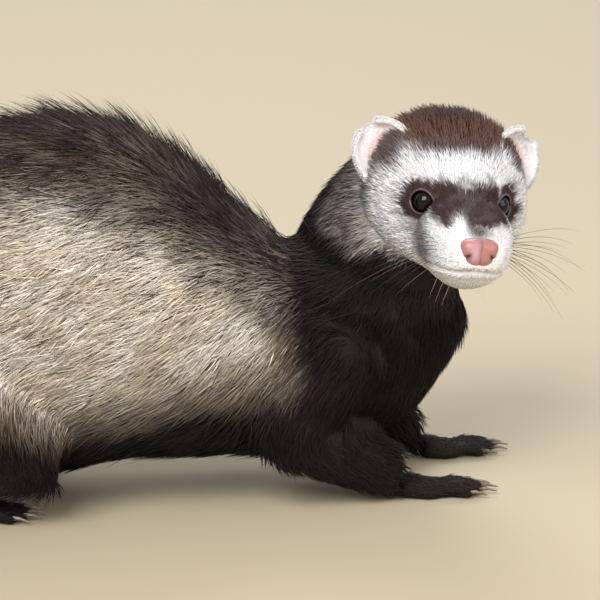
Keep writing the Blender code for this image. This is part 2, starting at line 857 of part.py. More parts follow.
def lock_path(tree, start, course, length, lift):
    """Points over a surface from a start along a course, sunk at the root and lifted at the tip."""
    points = []
    normals = []
    place = start
    steps = (*LOCK_SHARES, 1)
    travelled = 0
    for share in steps:
        place = place + course * (share - travelled) * length
        travelled = share
        near, normal, _, _ = tree.find_nearest(place * 0.001)
        place = near * 1000
        course = (course - normal * course.dot(normal)).normalized()
        height = -LOCK_SINK + (LOCK_SINK + lift) * share**0.75
        points.append(place + normal * height)
        normals.append(normal.copy())
    return points, normals


def coated(node, starts, others):
    """A node with its locks: starts give each lock's place, course, length, lift and half width."""
    own = surface_tree(node)
    rest = surface_tree(others)
    strands = bpy.data.collections.new("locks")
    bpy.context.scene.collection.children.link(strands)
    for start, course, length, lift, half_width in starts:
        for shorter in (1, 0.8, 0.62):
            points, normals = lock_path(own, start, course, length * shorter, lift)
            rows, faces = lock(points, normals, half_width)
            if is_smooth(points, normals) and is_clear(rows, rest):
                made = new_object("lock", [row * 0.001 for row in rows], faces)
                outward(made)
                bpy.context.collection.objects.unlink(made)
                strands.objects.link(made)
                break
    union = node.modifiers.new("Coat", "BOOLEAN")
    union.operation = "UNION"
    union.solver = "EXACT"
    union.operand_type = "COLLECTION"
    union.collection = strands
    evaluated(node)
    remove(list(strands.objects))
    bpy.data.collections.remove(strands)
    return keep_largest(node)


def is_smooth(points, normals):
    """Whether a lock's path bends and twists gently enough for it not to cross itself."""
    steps = [after - before for before, after in zip(points, points[1:])]
    bends = [before.angle(after) for before, after in zip(steps, steps[1:])]
    bends += [before.angle(after) for before, after in zip(normals, normals[1:])]
    return max(bends) < LOCK_BEND


def is_inside(place, tree):
    """Whether a point is inside closed surfaces: a ray from it then meets an odd number of faces."""
    heading = Vector((0.31, 0.17, 0.93)).normalized()
    hits = 0
    hit = tree.ray_cast(place, heading)[0]
    while hit and hits < 60:
        hits += 1
        hit = tree.ray_cast(hit + heading * 1e-6, heading)[0]
    return hits % 2 == 1


def is_clear(rows, tree):
    """Whether a lock stays off the floor and off the other nodes."""
    for row in rows:
        place = row * 0.001
        if row.z < LOCK_FLOOR or (tree.find_nearest(place)[0] - place).length < 3 * GAP or is_inside(place, tree):
            return False
    return True


def trunk_starts(first, last, spacing, draw):
    """Lock roots in tiers over the trunk, from first to last, each tier half a lock out of step."""
    starts = []
    count = round((first - last) / spacing)
    for tier in range(count + 1):
        x = first - tier * spacing
        row = trunk_row(x)
        top, bottom, width = row[1] - CORE_BACK, row[2], row[3] - CORE_FLANK
        middle = bottom + (top - bottom) * 0.46
        girth = LOCK_REACH * (width + top - middle) / 2
        across = max(round(girth / (LOCK_SPREAD * 0.5)), 2)
        for index in range(-across, across + 1):
            if (index + tier) % 2:
                continue
            around = LOCK_REACH * index / across + draw.uniform(-0.04, 0.04)
            side = math.sin(around)
            rise = math.cos(around)
            start = Vector((x + draw.uniform(-2, 2), side * width, middle + rise * (top - middle)))
            droop = math.radians(34 + 0.28 * x) * abs(side)
            outwards = Vector((0, math.copysign(rise, side) if side else 0, -abs(side)))
            course = Vector((-math.cos(droop), 0, 0)) + outwards * math.sin(droop)
            course = Matrix.Rotation(draw.uniform(-0.1, 0.1), 3, "X") @ course
            lift = CORE_FLANK + (CORE_BACK - CORE_FLANK) * max(rise, 0) ** 2
            starts.append((start, course, spacing * draw.uniform(1.25, 1.5), lift, LOCK_SPREAD * 0.5))
    return starts


def trunk_row(x):
    """The trunk's section at a place along it."""
    rows = curve_rows(TRUNK, 4)
    return rows[int(np.argmin(abs(rows[:, 0] - x)))]


def tail_core(x):
    """How far the tail's core lies inside the tips at a place along it."""
    return CORE_TAIL * eased((-118 - x) / 20) * eased((x - TAIL_BRUSH) / 30)


def tail_starts(draw):
    """Lock roots in rings round the tail."""
    rows = curve_rows(TAIL, 4)
    starts = []
    for tier, index in enumerate(TAIL_RINGS):
        centre = Vector(rows[index][:3])
        ahead = (Vector(rows[index + 1][:3]) - centre).normalized()
        side = ahead.cross(Vector((0, 0, 1))).normalized()
        rise = side.cross(ahead)
        radius = rows[index][3] - tail_core(rows[index][0])
        for step in range(TAIL_LOCKS):
            around = math.pi * (2 * step + tier % 2) / TAIL_LOCKS + math.pi / 2 + draw.uniform(-0.1, 0.1)
            spoke = side * math.cos(around) + rise * math.sin(around)
            length = TAIL_LOCK_LENGTH * draw.uniform(0.9, 1.1)
            starts.append((centre + spoke * radius, ahead, length, CORE_TAIL, radius * TAIL_LOCK_SHARE))
    return starts


def body_shapes():
    """The overlapping closed shapes of the whole animal but its paws' toes."""
    shapes = [trunk(), skull()]
    shapes.append(path_tube("neck", NECK, 4, 40, Vector((-1, 0, 0.2))))
    slim_tail = [(*row[:3], row[3] - tail_core(row[0])) for row in TAIL]
    shapes.append(path_tube("tail", slim_tail, 4, 24))
    for rows, sides in ((NEAR_FORELEG, (-1,)), (FAR_FORELEG, (1,)), (HINDLEG, (1, -1))):
        for side in sides:
            leg = [(row[0], row[1] * side, *row[2:]) for row in rows]
            shapes.append(path_tube("leg", leg, 4, 28, Vector((0, side, 0.01))))
    return shapes


def slanted(centre, size, yaw=0.0, pitch=0.0, roll=0.0):
    """A box region: centre and sizes in millimetres and its turns in degrees."""
    turn = Matrix.Rotation(math.radians(yaw), 3, "Z")
    turn = turn @ Matrix.Rotation(math.radians(pitch), 3, "Y")
    turn = turn @ Matrix.Rotation(math.radians(roll), 3, "X")
    return centre, size, turn


HEAD_REGION = slanted((85, -33, 106), (72, 90, 64), roll=24)
NECK_REGION = slanted((88, 0, 90), (90, 120, 60), pitch=-38)
TAIL_REGION = slanted((-190, 0, 30), (140, 80, 120), pitch=-36)
PAW_REGIONS = {
    "forepaw_right": slanted((93, -17, 3), (46, 34, 24), yaw=3),
    "forepaw_left": slanted((106, 19, 3), (46, 34, 22), yaw=8),
    "hindpaw_right": slanted((-64, -20, 0), (70, 32, 22)),
    "hindpaw_left": slanted((-64, 20, 0), (70, 32, 22)),
}
LEG_REGIONS = {
    "foreleg_right": slanted((50, -39, 3), (70, 60, 42), roll=35),
    "foreleg_left": slanted((70, 39, 3), (64, 60, 44), roll=-35),
    "hindleg_right": slanted((-72, -48, 14), (80, 76, 50), roll=42),
    "hindleg_left": slanted((-72, 48, 14), (80, 76, 50), roll=-42),
}
PAW_KINDS = {
    "forepaw_right": (FOREPAW_NEAR, -1),
    "forepaw_left": (FOREPAW_FAR, 1),
    "hindpaw_right": (HINDPAW, -1),
    "hindpaw_left": (HINDPAW, 1),
}
CHEST_END = 30  # x of the cut between chest and torso


def build():
    """The whole ferret."""
    for thing in list(bpy.data.objects):
        bpy.data.objects.remove(thing)
    fine_head = [skull(), path_tube("neck", NECK, 4, 40, Vector((-1, 0, 0.2)))]
    head = shaped_lids(fused("head", fine_head, FINE_VOXEL, 10))
    kept_inside(thin(head, HEAD_TRIANGLES, face_plainness), HEAD_REGION)
    build_head(head)
    body = thin(fused("body", body_shapes(), BODY_VOXEL, 12), BODY_TRIANGLES)
    remove([taken(body, "spare_head", HEAD_REGION)])
    for name, region in PAW_REGIONS.items():
        remove([taken(body, "spare_paw", region)])
        paw, side = PAW_KINDS[name]
        build_paw(name, paw, side, region)
    finish(taken(body, "tail", TAIL_REGION), "tail", "coat_dark")
    finish(taken(body, "neck", NECK_REGION), "neck", "coat_dark")
    for name, region in LEG_REGIONS.items():
        finish(taken(body, name, region), name, "coat_dark")
    region = slanted((CHEST_END + 100, 0, 60), (200, 200, 200))
    finish(taken(body, "chest", region), "chest", "coat_dark")
    finish(body, "torso", "coat_cream")
    add_locks()
    centre_on_floor()


def add_locks():
    """The long coat of the trunk and tail."""
    draw = random.Random(LOCK_SEED)
    coats = (
        ("torso", "coat_cream", trunk_starts(CHEST_END - 2, -124, LOCK_TIER, draw)),
        ("tail", "coat_dark", tail_starts(draw)),
    )
    for name, slot, starts in coats:
        node = bpy.data.objects[name]
        rest = [thing for thing in bpy.data.objects if thing.type == "MESH" and thing is not node]
        others = join("others", [copy_of(thing, "other") for thing in rest])
        coated(node, starts, others)
        remove([others])
        finish(node, name, slot)


def centre_on_floor():
    """Moves the whole animal so that the middle of its bottom stands at the origin."""
    corners = []
    solids = [thing for thing in bpy.data.objects if thing.type == "MESH"]
    for thing in solids:
        corners.extend(thing.matrix_world @ vertex.co for vertex in thing.data.vertices)
    low = [min(corner[axis] for corner in corners) for axis in range(3)]
    high = [max(corner[axis] for corner in corners) for axis in range(3)]
    shift = Vector((-(low[0] + high[0]) / 2, -(low[1] + high[1]) / 2, -low[2]))
    for thing in solids:
        thing.data.transform(Matrix.Translation(shift))


build()
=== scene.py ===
import math

import bmesh
import bpy
import numpy as np
from mathutils import Matrix, Vector
from mathutils.bvhtree import BVHTree
from mathutils.kdtree import KDTree


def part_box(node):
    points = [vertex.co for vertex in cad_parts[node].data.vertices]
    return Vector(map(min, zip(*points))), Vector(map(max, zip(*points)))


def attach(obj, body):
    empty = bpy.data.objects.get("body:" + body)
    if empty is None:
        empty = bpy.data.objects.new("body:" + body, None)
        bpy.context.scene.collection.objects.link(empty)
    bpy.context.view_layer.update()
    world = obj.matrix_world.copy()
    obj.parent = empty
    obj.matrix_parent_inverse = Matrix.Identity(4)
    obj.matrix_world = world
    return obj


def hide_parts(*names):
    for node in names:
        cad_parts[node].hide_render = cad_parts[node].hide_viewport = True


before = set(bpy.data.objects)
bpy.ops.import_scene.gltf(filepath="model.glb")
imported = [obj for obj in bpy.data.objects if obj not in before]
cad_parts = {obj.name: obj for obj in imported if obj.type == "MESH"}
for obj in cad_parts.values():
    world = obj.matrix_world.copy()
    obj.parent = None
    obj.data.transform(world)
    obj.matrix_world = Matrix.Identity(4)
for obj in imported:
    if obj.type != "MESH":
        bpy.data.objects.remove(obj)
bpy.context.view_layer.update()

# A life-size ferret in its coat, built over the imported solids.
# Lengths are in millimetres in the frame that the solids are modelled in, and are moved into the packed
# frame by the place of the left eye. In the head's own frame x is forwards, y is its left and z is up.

MM = 0.001
DRAW = np.random.default_rng(11)
THINNING = 1
SIDES = (("left", 1), ("right", -1))
LEGS = ("foreleg_left", "foreleg_right", "hindleg_left", "hindleg_right")
PAWS = ("forepaw_left", "forepaw_right", "hindpaw_left", "hindpaw_right")

# Head: the point midway between the eyes, and the turn of the head
HEAD_AT = Vector((84.9, -36.0, 96.3))
HEAD_YAW = math.radians(-87.5)
HEAD_ROLL = math.radians(-6)

# Head sections: forwards, centre height, half width, height above, depth below, powers of the ovals
SKULL = (
    (24.6, -10.4, 3.2, 2.6, 2.6, 2, 2),
    (22.8, -10.2, 7.6, 4.8, 5.4, 2, 2),
    (19.5, -9.6, 10.4, 6.6, 9.8, 2, 2),
    (15, -8.6, 12.0, 8.4, 13.0, 2, 2),
    (10, -7.6, 13.4, 10.7, 15.4, 2, 2),
    (4, -6.2, 15.2, 13.4, 16.6, 2, 2.1),
    (-2, -5.2, 18.6, 17.0, 17.2, 1.9, 2.2),
    (-8, -4.4, 22.0, 20.8, 18.2, 1.95, 2.35),
    (-15, -3.4, 24.8, 23.8, 19.6, 2.05, 2.35),
    (-23, -2.6, 25.8, 25.4, 20.4, 2.1, 2.3),
    (-32, -2.2, 24.8, 24.4, 20.4, 2.05, 2.2),
    (-40, -2.0, 22.0, 20.6, 19.8, 1.9, 2),
    (-47, -2.4, 17.5, 15.4, 17.0, 2, 2),
    (-51, -2.5, 10, 9, 11, 2, 2),
)
# Neck sections: x, y, z, half width, half depth above, half depth below
NECK = (
    (60, 3, 54, 27, 28, 28),
    (66, 4, 66, 27, 28, 28),
    (72.5, 3, 78, 26.5, 27, 26.5),
    (79, -3, 88, 25, 25, 25),
    (84, -11, 93, 23.5, 21, 23),
    (86, -20, 95, 20, 18, 20),
)
# The box that parts the head from the neck: centre, size and roll
HEAD_BOX = (Vector((85, -33, 106)), Vector((72, 90, 64)), math.radians(24))

# Eyes, with the opening of the lids as half width and half height
EYE_AT = Vector((-2.3, 9.8, -0.7))
EYE_AIM = Vector((0.70, 0.70, 0.10)).normalized()
EYE_RADIUS = 4.4
LID_RADIUS = 5.2
EYE_OPENING = (3.75, 3.4)
LID_RIM = 0.34
LID_GROW = 1.03
LID_POINTS = 48
CORNEA_BULGE = 0.35
CORNEA_RADIUS = 3.1
IRIS_RADIUS = 3.0
PUPIL_RADIUS = 1.7

# Nose pad, nostrils and mouth
NOSE_AT = Vector((21.8, 0, -8.9))
NOSE_SIZE = (4.0, 6.6, 4.1)
NOSE_TILT = math.radians(-8)
NOSE_POWER = 2.7
NOSTRIL_AT = Vector((25.2, 3.5, -9.6))
NOSTRIL_DEPTH = 0.7
NOSTRIL_SLANT = math.radians(38)
MOUTH_CENTRE = Vector((8, 0, -14.4))
MOUTH_TURN = math.radians(96)
MOUTH_STEPS = 20
LIP_CLEFT = np.array([(25.4, 0, -12.4), (25.2, 0, -14.6)])
WHISKER_STEPS = 10

# Ears
EAR_AT = Vector((-20, 17.8, 6.8))
EAR_WIDTH = 18.6
EAR_HEIGHT = 12.0
EAR_THICKNESS = 1.5
EAR_CUP = 4.6
EAR_BEND = math.radians(72)
EAR_TILT = math.radians(43)
EAR_TURN = math.radians(18)

# Lines that the coat follows: x, y, z and radius, in the order of its lie, with y outwards on legs and paws
TRUNK_LINE = (
    (95, 0, 55, 8), (81, 0, 52, 24), (60, 0, 48, 32), (30, 0, 50, 37), (0, 0, 60, 46), (-30, 0, 65, 51),
    (-62, 0, 64, 49), (-98, 0, 60, 38), (-135, 0, 54, 12),
)
NECK_LINE = (
    (86, -20, 95, 19), (84, -11, 93, 22), (79, -3, 88, 25), (72.5, 3, 78, 27), (62, 4, 58, 28),
)
TAIL_LINE = (
    (-118, 0, 59, 15), (-136, 0.5, 48, 13.5), (-150, 1.5, 38, 12.5), (-166, 3, 28, 12),
    (-184, 5, 20, 12), (-204, 7, 15.6, 11.5), (-224, 9, 14.2, 10.6), (-242, 10, 13.6, 8.6),
    (-264, 10.8, 12.6, 3),
)
NEAR_LEG = (
    (50, 20, 48, 17), (42, 24, 37, 15), (36, 26, 29, 13), (42, 25, 23, 11), (54, 22, 17, 10),
    (64, 19.8, 11.2, 9), (71, 18.6, 6.6, 6),
)
FAR_LEG = (
    (60, 18, 50, 18), (62, 23, 36, 15), (66, 23, 26, 11.5), (72, 20, 17, 8.7), (79, 17.4, 9.4, 6.5),
    (85, 16.6, 5, 5),
)
HIND_LEG = (
    (-94, 14, 76, 22), (-82, 22, 62, 24), (-64, 26, 47, 21), (-43, 26.5, 28.5, 16), (-46, 24, 18.5, 13),
    (-62, 22.5, 14, 9.3), (-77, 21, 11, 7.4), (-86, 20.3, 7, 6),
)
NEAR_PAW = ((72, 18.4, 4, 5.5), (80, 18.2, 3, 7), (96, 17.5, 2.4, 7))
FAR_PAW = ((84, 16.4, 4, 5.5), (91, 16.2, 3, 7), (107, 18, 2.4, 7))
HIND_PAW = ((-90, 19, 4, 5.2), (-74, 19.5, 3.6, 5.4), (-58, 20, 3, 7), (-40, 21, 2.4, 7))

# Trunk sections: x, top, bottom and half width
TRUNK = (
    (95, 60, 49, 6), (90, 68, 40, 15), (81, 76, 28, 23), (66, 81, 17, 29), (52, 81, 13, 31),
    (40, 79, 12.5, 32), (28, 86.5, 12.5, 34), (14, 98.5, 13, 36.5), (0, 109, 13.5, 39),
    (-14, 115.5, 13, 40.5), (-28, 119.5, 11, 41.5), (-46, 119, 10.5, 42), (-62, 115.5, 14, 41),
    (-80, 108, 19, 38.5), (-98, 97, 26, 34), (-114, 83, 33, 27), (-127, 69, 41, 18), (-135, 60, 47, 8),
)
# Where the trunk is widest, as a share of its height
TRUNK_MIDDLE = 0.46
# Tail sections: x, y, z and radius
TAIL = (
    (-108, 0, 62, 17), (-122, 0, 57, 15), (-136, 0.5, 48, 13.5), (-150, 1.5, 38, 12.5),
    (-166, 3, 28, 12.2), (-184, 5, 20, 12), (-204, 7, 15.6, 11.8), (-224, 9, 14.2, 10.6),
    (-242, 10, 13.6, 8.6), (-256, 10.5, 13, 5.6), (-264, 10.8, 12.6, 2),
)

# Trunk top line: x against height, from the rear
CREST = (
    (-135, 60), (-114, 83), (-98, 97), (-80, 108), (-62, 115.5), (-46, 119), (-28, 119.5), (-14, 115.5),
    (0, 109), (14, 98.5), (28, 86.5), (40, 80), (66, 81), (95, 60),
)

# Rows put between two given sections or points
CURVE_STEPS = 4
# Skins: the size of their mesh and rounds of smoothing, and how much the solids swell to overlap
BODY_MESH = (1.5, 18)
PAW_MESH = (0.65, 4)
HEAD_MESH = (0.7, 6)
NODE_SWELL = 0.35

# Coat by stretch: depth of the skin in the coat, tuft length, lift in degrees, half width of a tuft
COAT = {
    "trunk": (3.6, 12.0, 18, 0.23),
    "neck": (3.0, 9.0, 12, 0.22),
    "tail": (3.6, 14.0, 27, 0.24),
    "leg": (2.0, 6.5, 14, 0.20),
    "paw": (0.3, 2.4, 15, 0.15),
}
# More depth under the long hair of the back
RIDGE_DEPTH = 2.4
# Where the torso's coat changes to the fore part's
FORE_FROM = 34
BREAST_DROOP = math.radians(70)
# The point in front of the nose that the face's coat lies away from
COAT_PARTING = Vector((27, 0, -7))
COMBING_ROUNDS = 14
# How deep tufts are rooted, and how far they stay above the ground
ROOT_DEPTH = 0.5
FLOOR_GAP = 0.3
# Tufts by stretch, guard hairs, tufts on each ear and the most tufts of the body's coat in one piece
TUFTS = {
    "torso": 54000, "fore": 19000, "neck": 12000, "tail": 9000, "legs": 13000, "paws": 4000, "head": 29000,
}
GUARD_HAIRS = 6000
EAR_TUFTS = 4600
PIECE_TUFTS = 19000
# The map of places for the coat's colours, and the share of it that one tuft covers
MAP_NAME = "OFBake"
MAP_PATCH = 0.003

# Noise: the whole numbers that mix its cells
NOISE_STEPS = np.array([374761393, 668265263, 2147483647])
NOISE_SEED_STEP = 974634777
NOISE_FACTOR = 1274126177
NOISE_BITS = 0x7FFFFFFF

# Camera: place, azimuth, elevation and focal length
CAMERA_AT = Vector((-63.035, -750.380, 282.639))
CAMERA_AZIMUTH = math.radians(-8)
CAMERA_ELEVATION = math.radians(16.5)
CAMERA_LENS = 156.0
# In metres: the spot that the lights aim at, the floor's reach and the height of the bumps in materials
LIGHT_TARGET = Vector((0.06, -0.02, 0.06))
FLOOR_REACH = 12.0
BUMP_HEIGHT = 0.0004


def srgb(*levels):
    """A colour from its 0 to 255 display levels, as linear light."""
    share = np.array(levels, float) / 255
    return np.where(share <= 0.04045, share / 12.92, ((share + 0.055) / 1.055) ** 2.4)


CREAM = srgb(236, 224, 206)
CREAM_PALE = srgb(252, 246, 236)
BROWN = srgb(112, 86, 72)
DARK = srgb(50, 37, 34)
BLACK = srgb(17, 12, 12)
WHITE = srgb(249, 249, 251)
MASK = srgb(66, 45, 40)
MASK_GREY = srgb(104, 90, 92)
CROWN = srgb(104, 70, 56)
CROWN_DARK = srgb(60, 37, 30)
EAR_WHITE = srgb(232, 228, 228)
EAR_PINK = srgb(222, 190, 194)
# Brown of the ear's depth, partly its dark hair and partly painted shade; also the darker patch in front of
# each ear's base
EAR_DARK = srgb(96, 64, 62)
NOSE_PINK = srgb(170, 112, 108)
# Painted highlight on the nose pad
NOSE_PAINTED_HIGHLIGHT = srgb(198, 158, 168)
LIP_PINK = srgb(200, 158, 158)
LID_GREY = srgb(56, 43, 50)
PAW_BROWN = srgb(44, 33, 31)
EYE_PUPIL = srgb(8, 6, 7)
EYE_IRIS = srgb(22, 13, 12)
EYE_EDGE = srgb(14, 9, 9)
# Painted shade in the nostrils
NOSTRIL_PAINTED_SHADE = srgb(40, 16, 18)
CLAW_DARK = srgb(62, 48, 44)
CLAW_PALE = srgb(150, 132, 118)
FLOOR_PALE = srgb(186, 174, 150)

HEAD_TURN = Matrix.Rotation(HEAD_YAW, 4, "Z") @ Matrix.Rotation(HEAD_ROLL, 4, "X")
HEAD_FRAME = Matrix.Translation(HEAD_AT) @ HEAD_TURN
TO_HEAD = HEAD_FRAME.inverted()


def moved(points, matrix):
    """Rows of points moved by a matrix."""
    matrix = np.array(matrix)
    return points @ matrix[:3, :3].T + matrix[:3, 3]


def in_head_frame(points):
    """Points of the body's frame in the head's frame."""
    return moved(points, TO_HEAD)


def mirrored(place, side):
    """A place or an aim given for the left, on side 1 (left) or -1 (right)."""
    return Vector((place.x, place.y * side, place.z))


def outward(place):
    """Points of the head's frame with y measured outwards on both sides."""
    return np.where([False, True, False], np.abs(place), place)


def eye_shift():
    """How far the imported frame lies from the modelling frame, in millimetres."""
    low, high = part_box("eye_left")
    return (low + high) * 0.5 / MM - HEAD_FRAME @ EYE_AT


SHIFT = eye_shift()


def eased(share):
    """Shares between 0 and 1 that start and end softly."""
    share = np.clip(share, 0, 1)
    return share * share * (3 - 2 * share)


def ramp(values, start, end):
    """A soft step from 0 at start to 1 at end."""
    return eased((values - start) / (end - start))


def mix(first, second, share):
    """Colours or rows blended by a share for each row."""
    share = np.asarray(share)[:, None]
    return first * (1 - share) + second * share


def norms(vectors):
    """The length of each row."""
    return np.linalg.norm(vectors, axis=1)


def unit(vectors):
    """Rows of vectors at length one."""
    return vectors / np.maximum(norms(vectors), 1e-9)[:, None]


def turned(first, second, angle):
    """Rows turned from a first direction towards a second, by an angle for each row."""
    return first * np.cos(angle)[:, None] + second * np.sin(angle)[:, None]


def laid(vectors, normals, share=1):
    """Rows of vectors laid along a skin, wholly or by a share."""
    return vectors - normals * np.sum(vectors * normals, axis=1, keepdims=True) * share


def noise(points, size, seed=0):
    """Smooth noise between -1 and 1 with features of a size in millimetres."""
    places = points / size + seed * 17.3
    cell = np.floor(places).astype(np.int64)
    part = places - cell
    part = part * part * (3 - 2 * part)
    total = np.zeros(len(points))
    for corner in range(8):
        offset = np.array([corner & 1, corner >> 1 & 1, corner >> 2 & 1])
        mixed = ((cell + offset) @ NOISE_STEPS + seed * NOISE_SEED_STEP) & NOISE_BITS
        mixed = ((mixed ^ (mixed >> 13)) * NOISE_FACTOR) & NOISE_BITS
        value = ((mixed ^ (mixed >> 16)) & 0xFFFF) / 32767.5 - 1
        total += value * np.prod(np.where(offset, part, 1 - part), axis=1)
    return total


def packed(points):
    """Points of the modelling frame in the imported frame, in metres."""
    return (np.asarray(points, float) + np.array(SHIFT)) * MM


def linked(name, data):
    """A new object of the scene with its data."""
    made = bpy.data.objects.new(name, data)
    bpy.context.scene.collection.objects.link(made)
    return made


def new_object(name, points, faces):
    """An object from points in millimetres of the modelling frame, and faces."""
    mesh = bpy.data.meshes.new(name)
    mesh.from_pydata(packed(points).tolist(), [], [tuple(face) for face in faces])
    mesh.update()
    return linked(name, mesh)


def rows_of(source, key, kind=float):
    """One kind of a mesh's values, in rows of three."""
    values = np.empty(len(source) * 3, kind)
    source.foreach_get(key, values)
    return values.reshape(-1, 3)


def arrays(thing):
    """An object's points in millimetres of the modelling frame, its triangles and its point normals."""
    mesh = thing.data
    mesh.calc_loop_triangles()
    points = rows_of(mesh.vertices, "co") / MM - np.array(SHIFT)
    triangles = rows_of(mesh.loop_triangles, "vertices", np.int64)
    return points, triangles, rows_of(mesh.vertex_normals, "vector")


def set_points(thing, points):
    """Moves an object's points to places in the modelling frame."""
    thing.data.vertices.foreach_set("co", packed(points).ravel())
    thing.data.update()


def evaluated(thing):
    """Replaces an object's mesh with its modified mesh and drops the modifiers."""
    graph = bpy.context.evaluated_depsgraph_get()
    graph.update()
    mesh = bpy.data.meshes.new_from_object(thing.evaluated_get(graph))
    thing.modifiers.clear()
    thing.data = mesh
    return thing


def edited(thing, change):
    """An object after a change to the faces of its mesh."""
    work = bmesh.new()
    work.from_mesh(thing.data)
    change(work)
    work.to_mesh(thing.data)
    work.free()
    return thing


def fused(name, points, faces, voxel, rounds):
    """Closed overlapping shapes fused to one smooth skin."""
    made = new_object(name, points, faces)
    grid = made.modifiers.new("Fuse", "REMESH")
    grid.mode = "VOXEL"
    grid.voxel_size = voxel * MM
    soft = made.modifiers.new("Soften", "SMOOTH")
    soft.factor = 0.5
    soft.iterations = rounds
    return edited(evaluated(made), drop_scraps)


def drop_scraps(work):
    """Leaves only the surface with the most faces."""
    unseen = set(work.faces)
    best = []
    while unseen:
        stack = [unseen.pop()]
        island = []
        while stack:
            face = stack.pop()
            island.append(face)
            near = {other for edge in face.edges for other in edge.link_faces} & unseen
            unseen -= near
            stack.extend(near)
        best = max(best, island, key=len)
    kept = set(best)
    bmesh.ops.delete(work, geom=[face for face in work.faces if face not in kept], context="FACES")


def node_shapes(names, swell):
    """The closed surfaces of CAD nodes, swollen a little so that they overlap."""
    points = []
    faces = []
    for name in names:
        work = bmesh.new()
        work.from_mesh(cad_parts[name].data)
        bmesh.ops.remove_doubles(work, verts=work.verts, dist=1e-6)
        work.normal_update()
        start = len(points)
        for vertex in work.verts:
            points.append((vertex.co / MM - SHIFT + vertex.normal * swell)[:])
        faces.extend([start + vertex.index for vertex in face.verts] for face in work.faces)
        work.free()
    return points, faces


def curve_rows(rows):
    """Rows of numbers with smoothly interpolated rows between them."""
    rows = np.array(rows, float)
    padded = np.vstack([2 * rows[0] - rows[1], rows, 2 * rows[-1] - rows[-2]])
    result = []
    for index in range(len(rows) - 1):
        before, start, end, after = padded[index : index + 4]
        for step in range(CURVE_STEPS):
            t = step / CURVE_STEPS
            bend = (2 * before - 5 * start + 4 * end - after) * t**2
            turn = (3 * start - before - 3 * end + after) * t**3
            result.append(0.5 * (2 * start + (end - before) * t + bend + turn))
    result.append(rows[-1])
    return np.array(result)


def ring_faces(first, second, sides):
    """The four-sided faces between two rings of points, each given by its first point."""
    pairs = [(side, (side + 1) % sides) for side in range(sides)]
    return [(first + side, first + after, second + after, second + side) for side, after in pairs]


def tube(sections, sides):
    """Points and faces of a closed tube: sections of centre, side, top and bottom, and two oval powers."""
    points = []
    for centre, side, top, bottom, above, below in sections:
        for index in range(sides):
            angle = 2 * math.pi * index / sides
            across = math.cos(angle)
            rise = math.sin(angle)
            bend = 2 / (above if rise > 0 else below)
            across = math.copysign(abs(across) ** bend, across)
            points.append(centre + side * across + (top if rise > 0 else bottom) * abs(rise) ** bend)
    points += [sections[0][0], sections[-1][0]]
    last = (len(sections) - 1) * sides
    start = last + sides
    faces = []
    for first in range(0, last, sides):
        faces += ring_faces(first, first + sides, sides)
    for side in range(sides):
        after = (side + 1) % sides
        faces += [(start, after, side), (start + 1, last + side, last + after)]
    return points, faces


def skull_shape():
    """The head as a tube along its own axis."""
    turn = HEAD_FRAME.to_3x3()
    sections = []
    for ahead, middle, width, top, bottom, above, below in curve_rows(SKULL):
        spokes = [turn @ Vector(spoke) for spoke in ((0, width, 0), (0, 0, top), (0, 0, -bottom))]
        sections.append((HEAD_FRAME @ Vector((ahead, 0, middle)), *spokes, above, below))
    return tube(sections, 48)


def trunk_shape():
    """The trunk as an oval tube from the chest to the rump."""
    sections = []
    for x, top, bottom, width in curve_rows(TRUNK):
        middle = bottom + (top - bottom) * TRUNK_MIDDLE
        spokes = [Vector(spoke) for spoke in ((0, width, 0), (0, 0, top - middle), (0, 0, bottom - middle))]
        sections.append((Vector((x, 0, middle)), *spokes, 2, 2))
    return tube(sections, 64)


def path_shape(rows, sides, upright):
    """A tube along a bent path: rows of x, y, z and radius, or half width and two half depths."""
    rows = curve_rows([tuple(row) + (row[-1],) * (6 - len(row)) for row in rows])
    centres = [Vector(row[:3]) for row in rows]
    sections = []
    for index, row in enumerate(rows):
        ahead = centres[min(index + 1, len(centres) - 1)] - centres[max(index - 1, 0)]
        side = ahead.cross(upright).normalized()
        top = side.cross(ahead).normalized()
        sections.append((centres[index], side * row[3], top * row[4], top * -row[5], 2, 2))
    return tube(sections, sides)


def neck_shape(rows):
    """The neck, or its upper stretch, as a tube."""
    return path_shape(rows, 40, Vector((-1, 0, 0.2)))


def together(*shapes):
    """Several sets of points and faces as one."""
    points = []
    faces = []
    for own_points, own_faces in shapes:
        start = len(points)
        points.extend(tuple(point) for point in own_points)
        faces.extend([start + index for index in face] for face in own_faces)
    return points, faces


def coat_lines():
    """Every line that the coat follows: its kind and its points with radii."""
    head = [(*(HEAD_FRAME @ Vector((row[0], 0, row[1]))), (row[2] + row[3]) * 0.5) for row in SKULL]
    lines = {"head": ("head", head), "neck": ("neck", NECK_LINE), "trunk": ("trunk", TRUNK_LINE)}
    lines["tail"] = ("tail", TAIL_LINE)
    for kind, name, right, left in (
        ("leg", "foreleg", NEAR_LEG, FAR_LEG),
        ("leg", "hindleg", HIND_LEG, HIND_LEG),
        ("paw", "forepaw", NEAR_PAW, FAR_PAW),
        ("paw", "hindpaw", HIND_PAW, HIND_PAW),
    ):
        lines[name + "_right"] = (kind, [(x, -y, z, radius) for x, y, z, radius in right])
        lines[name + "_left"] = (kind, left)
    return {name: (kind, np.array(rows, float)) for name, (kind, rows) in lines.items()}


LINES = coat_lines()


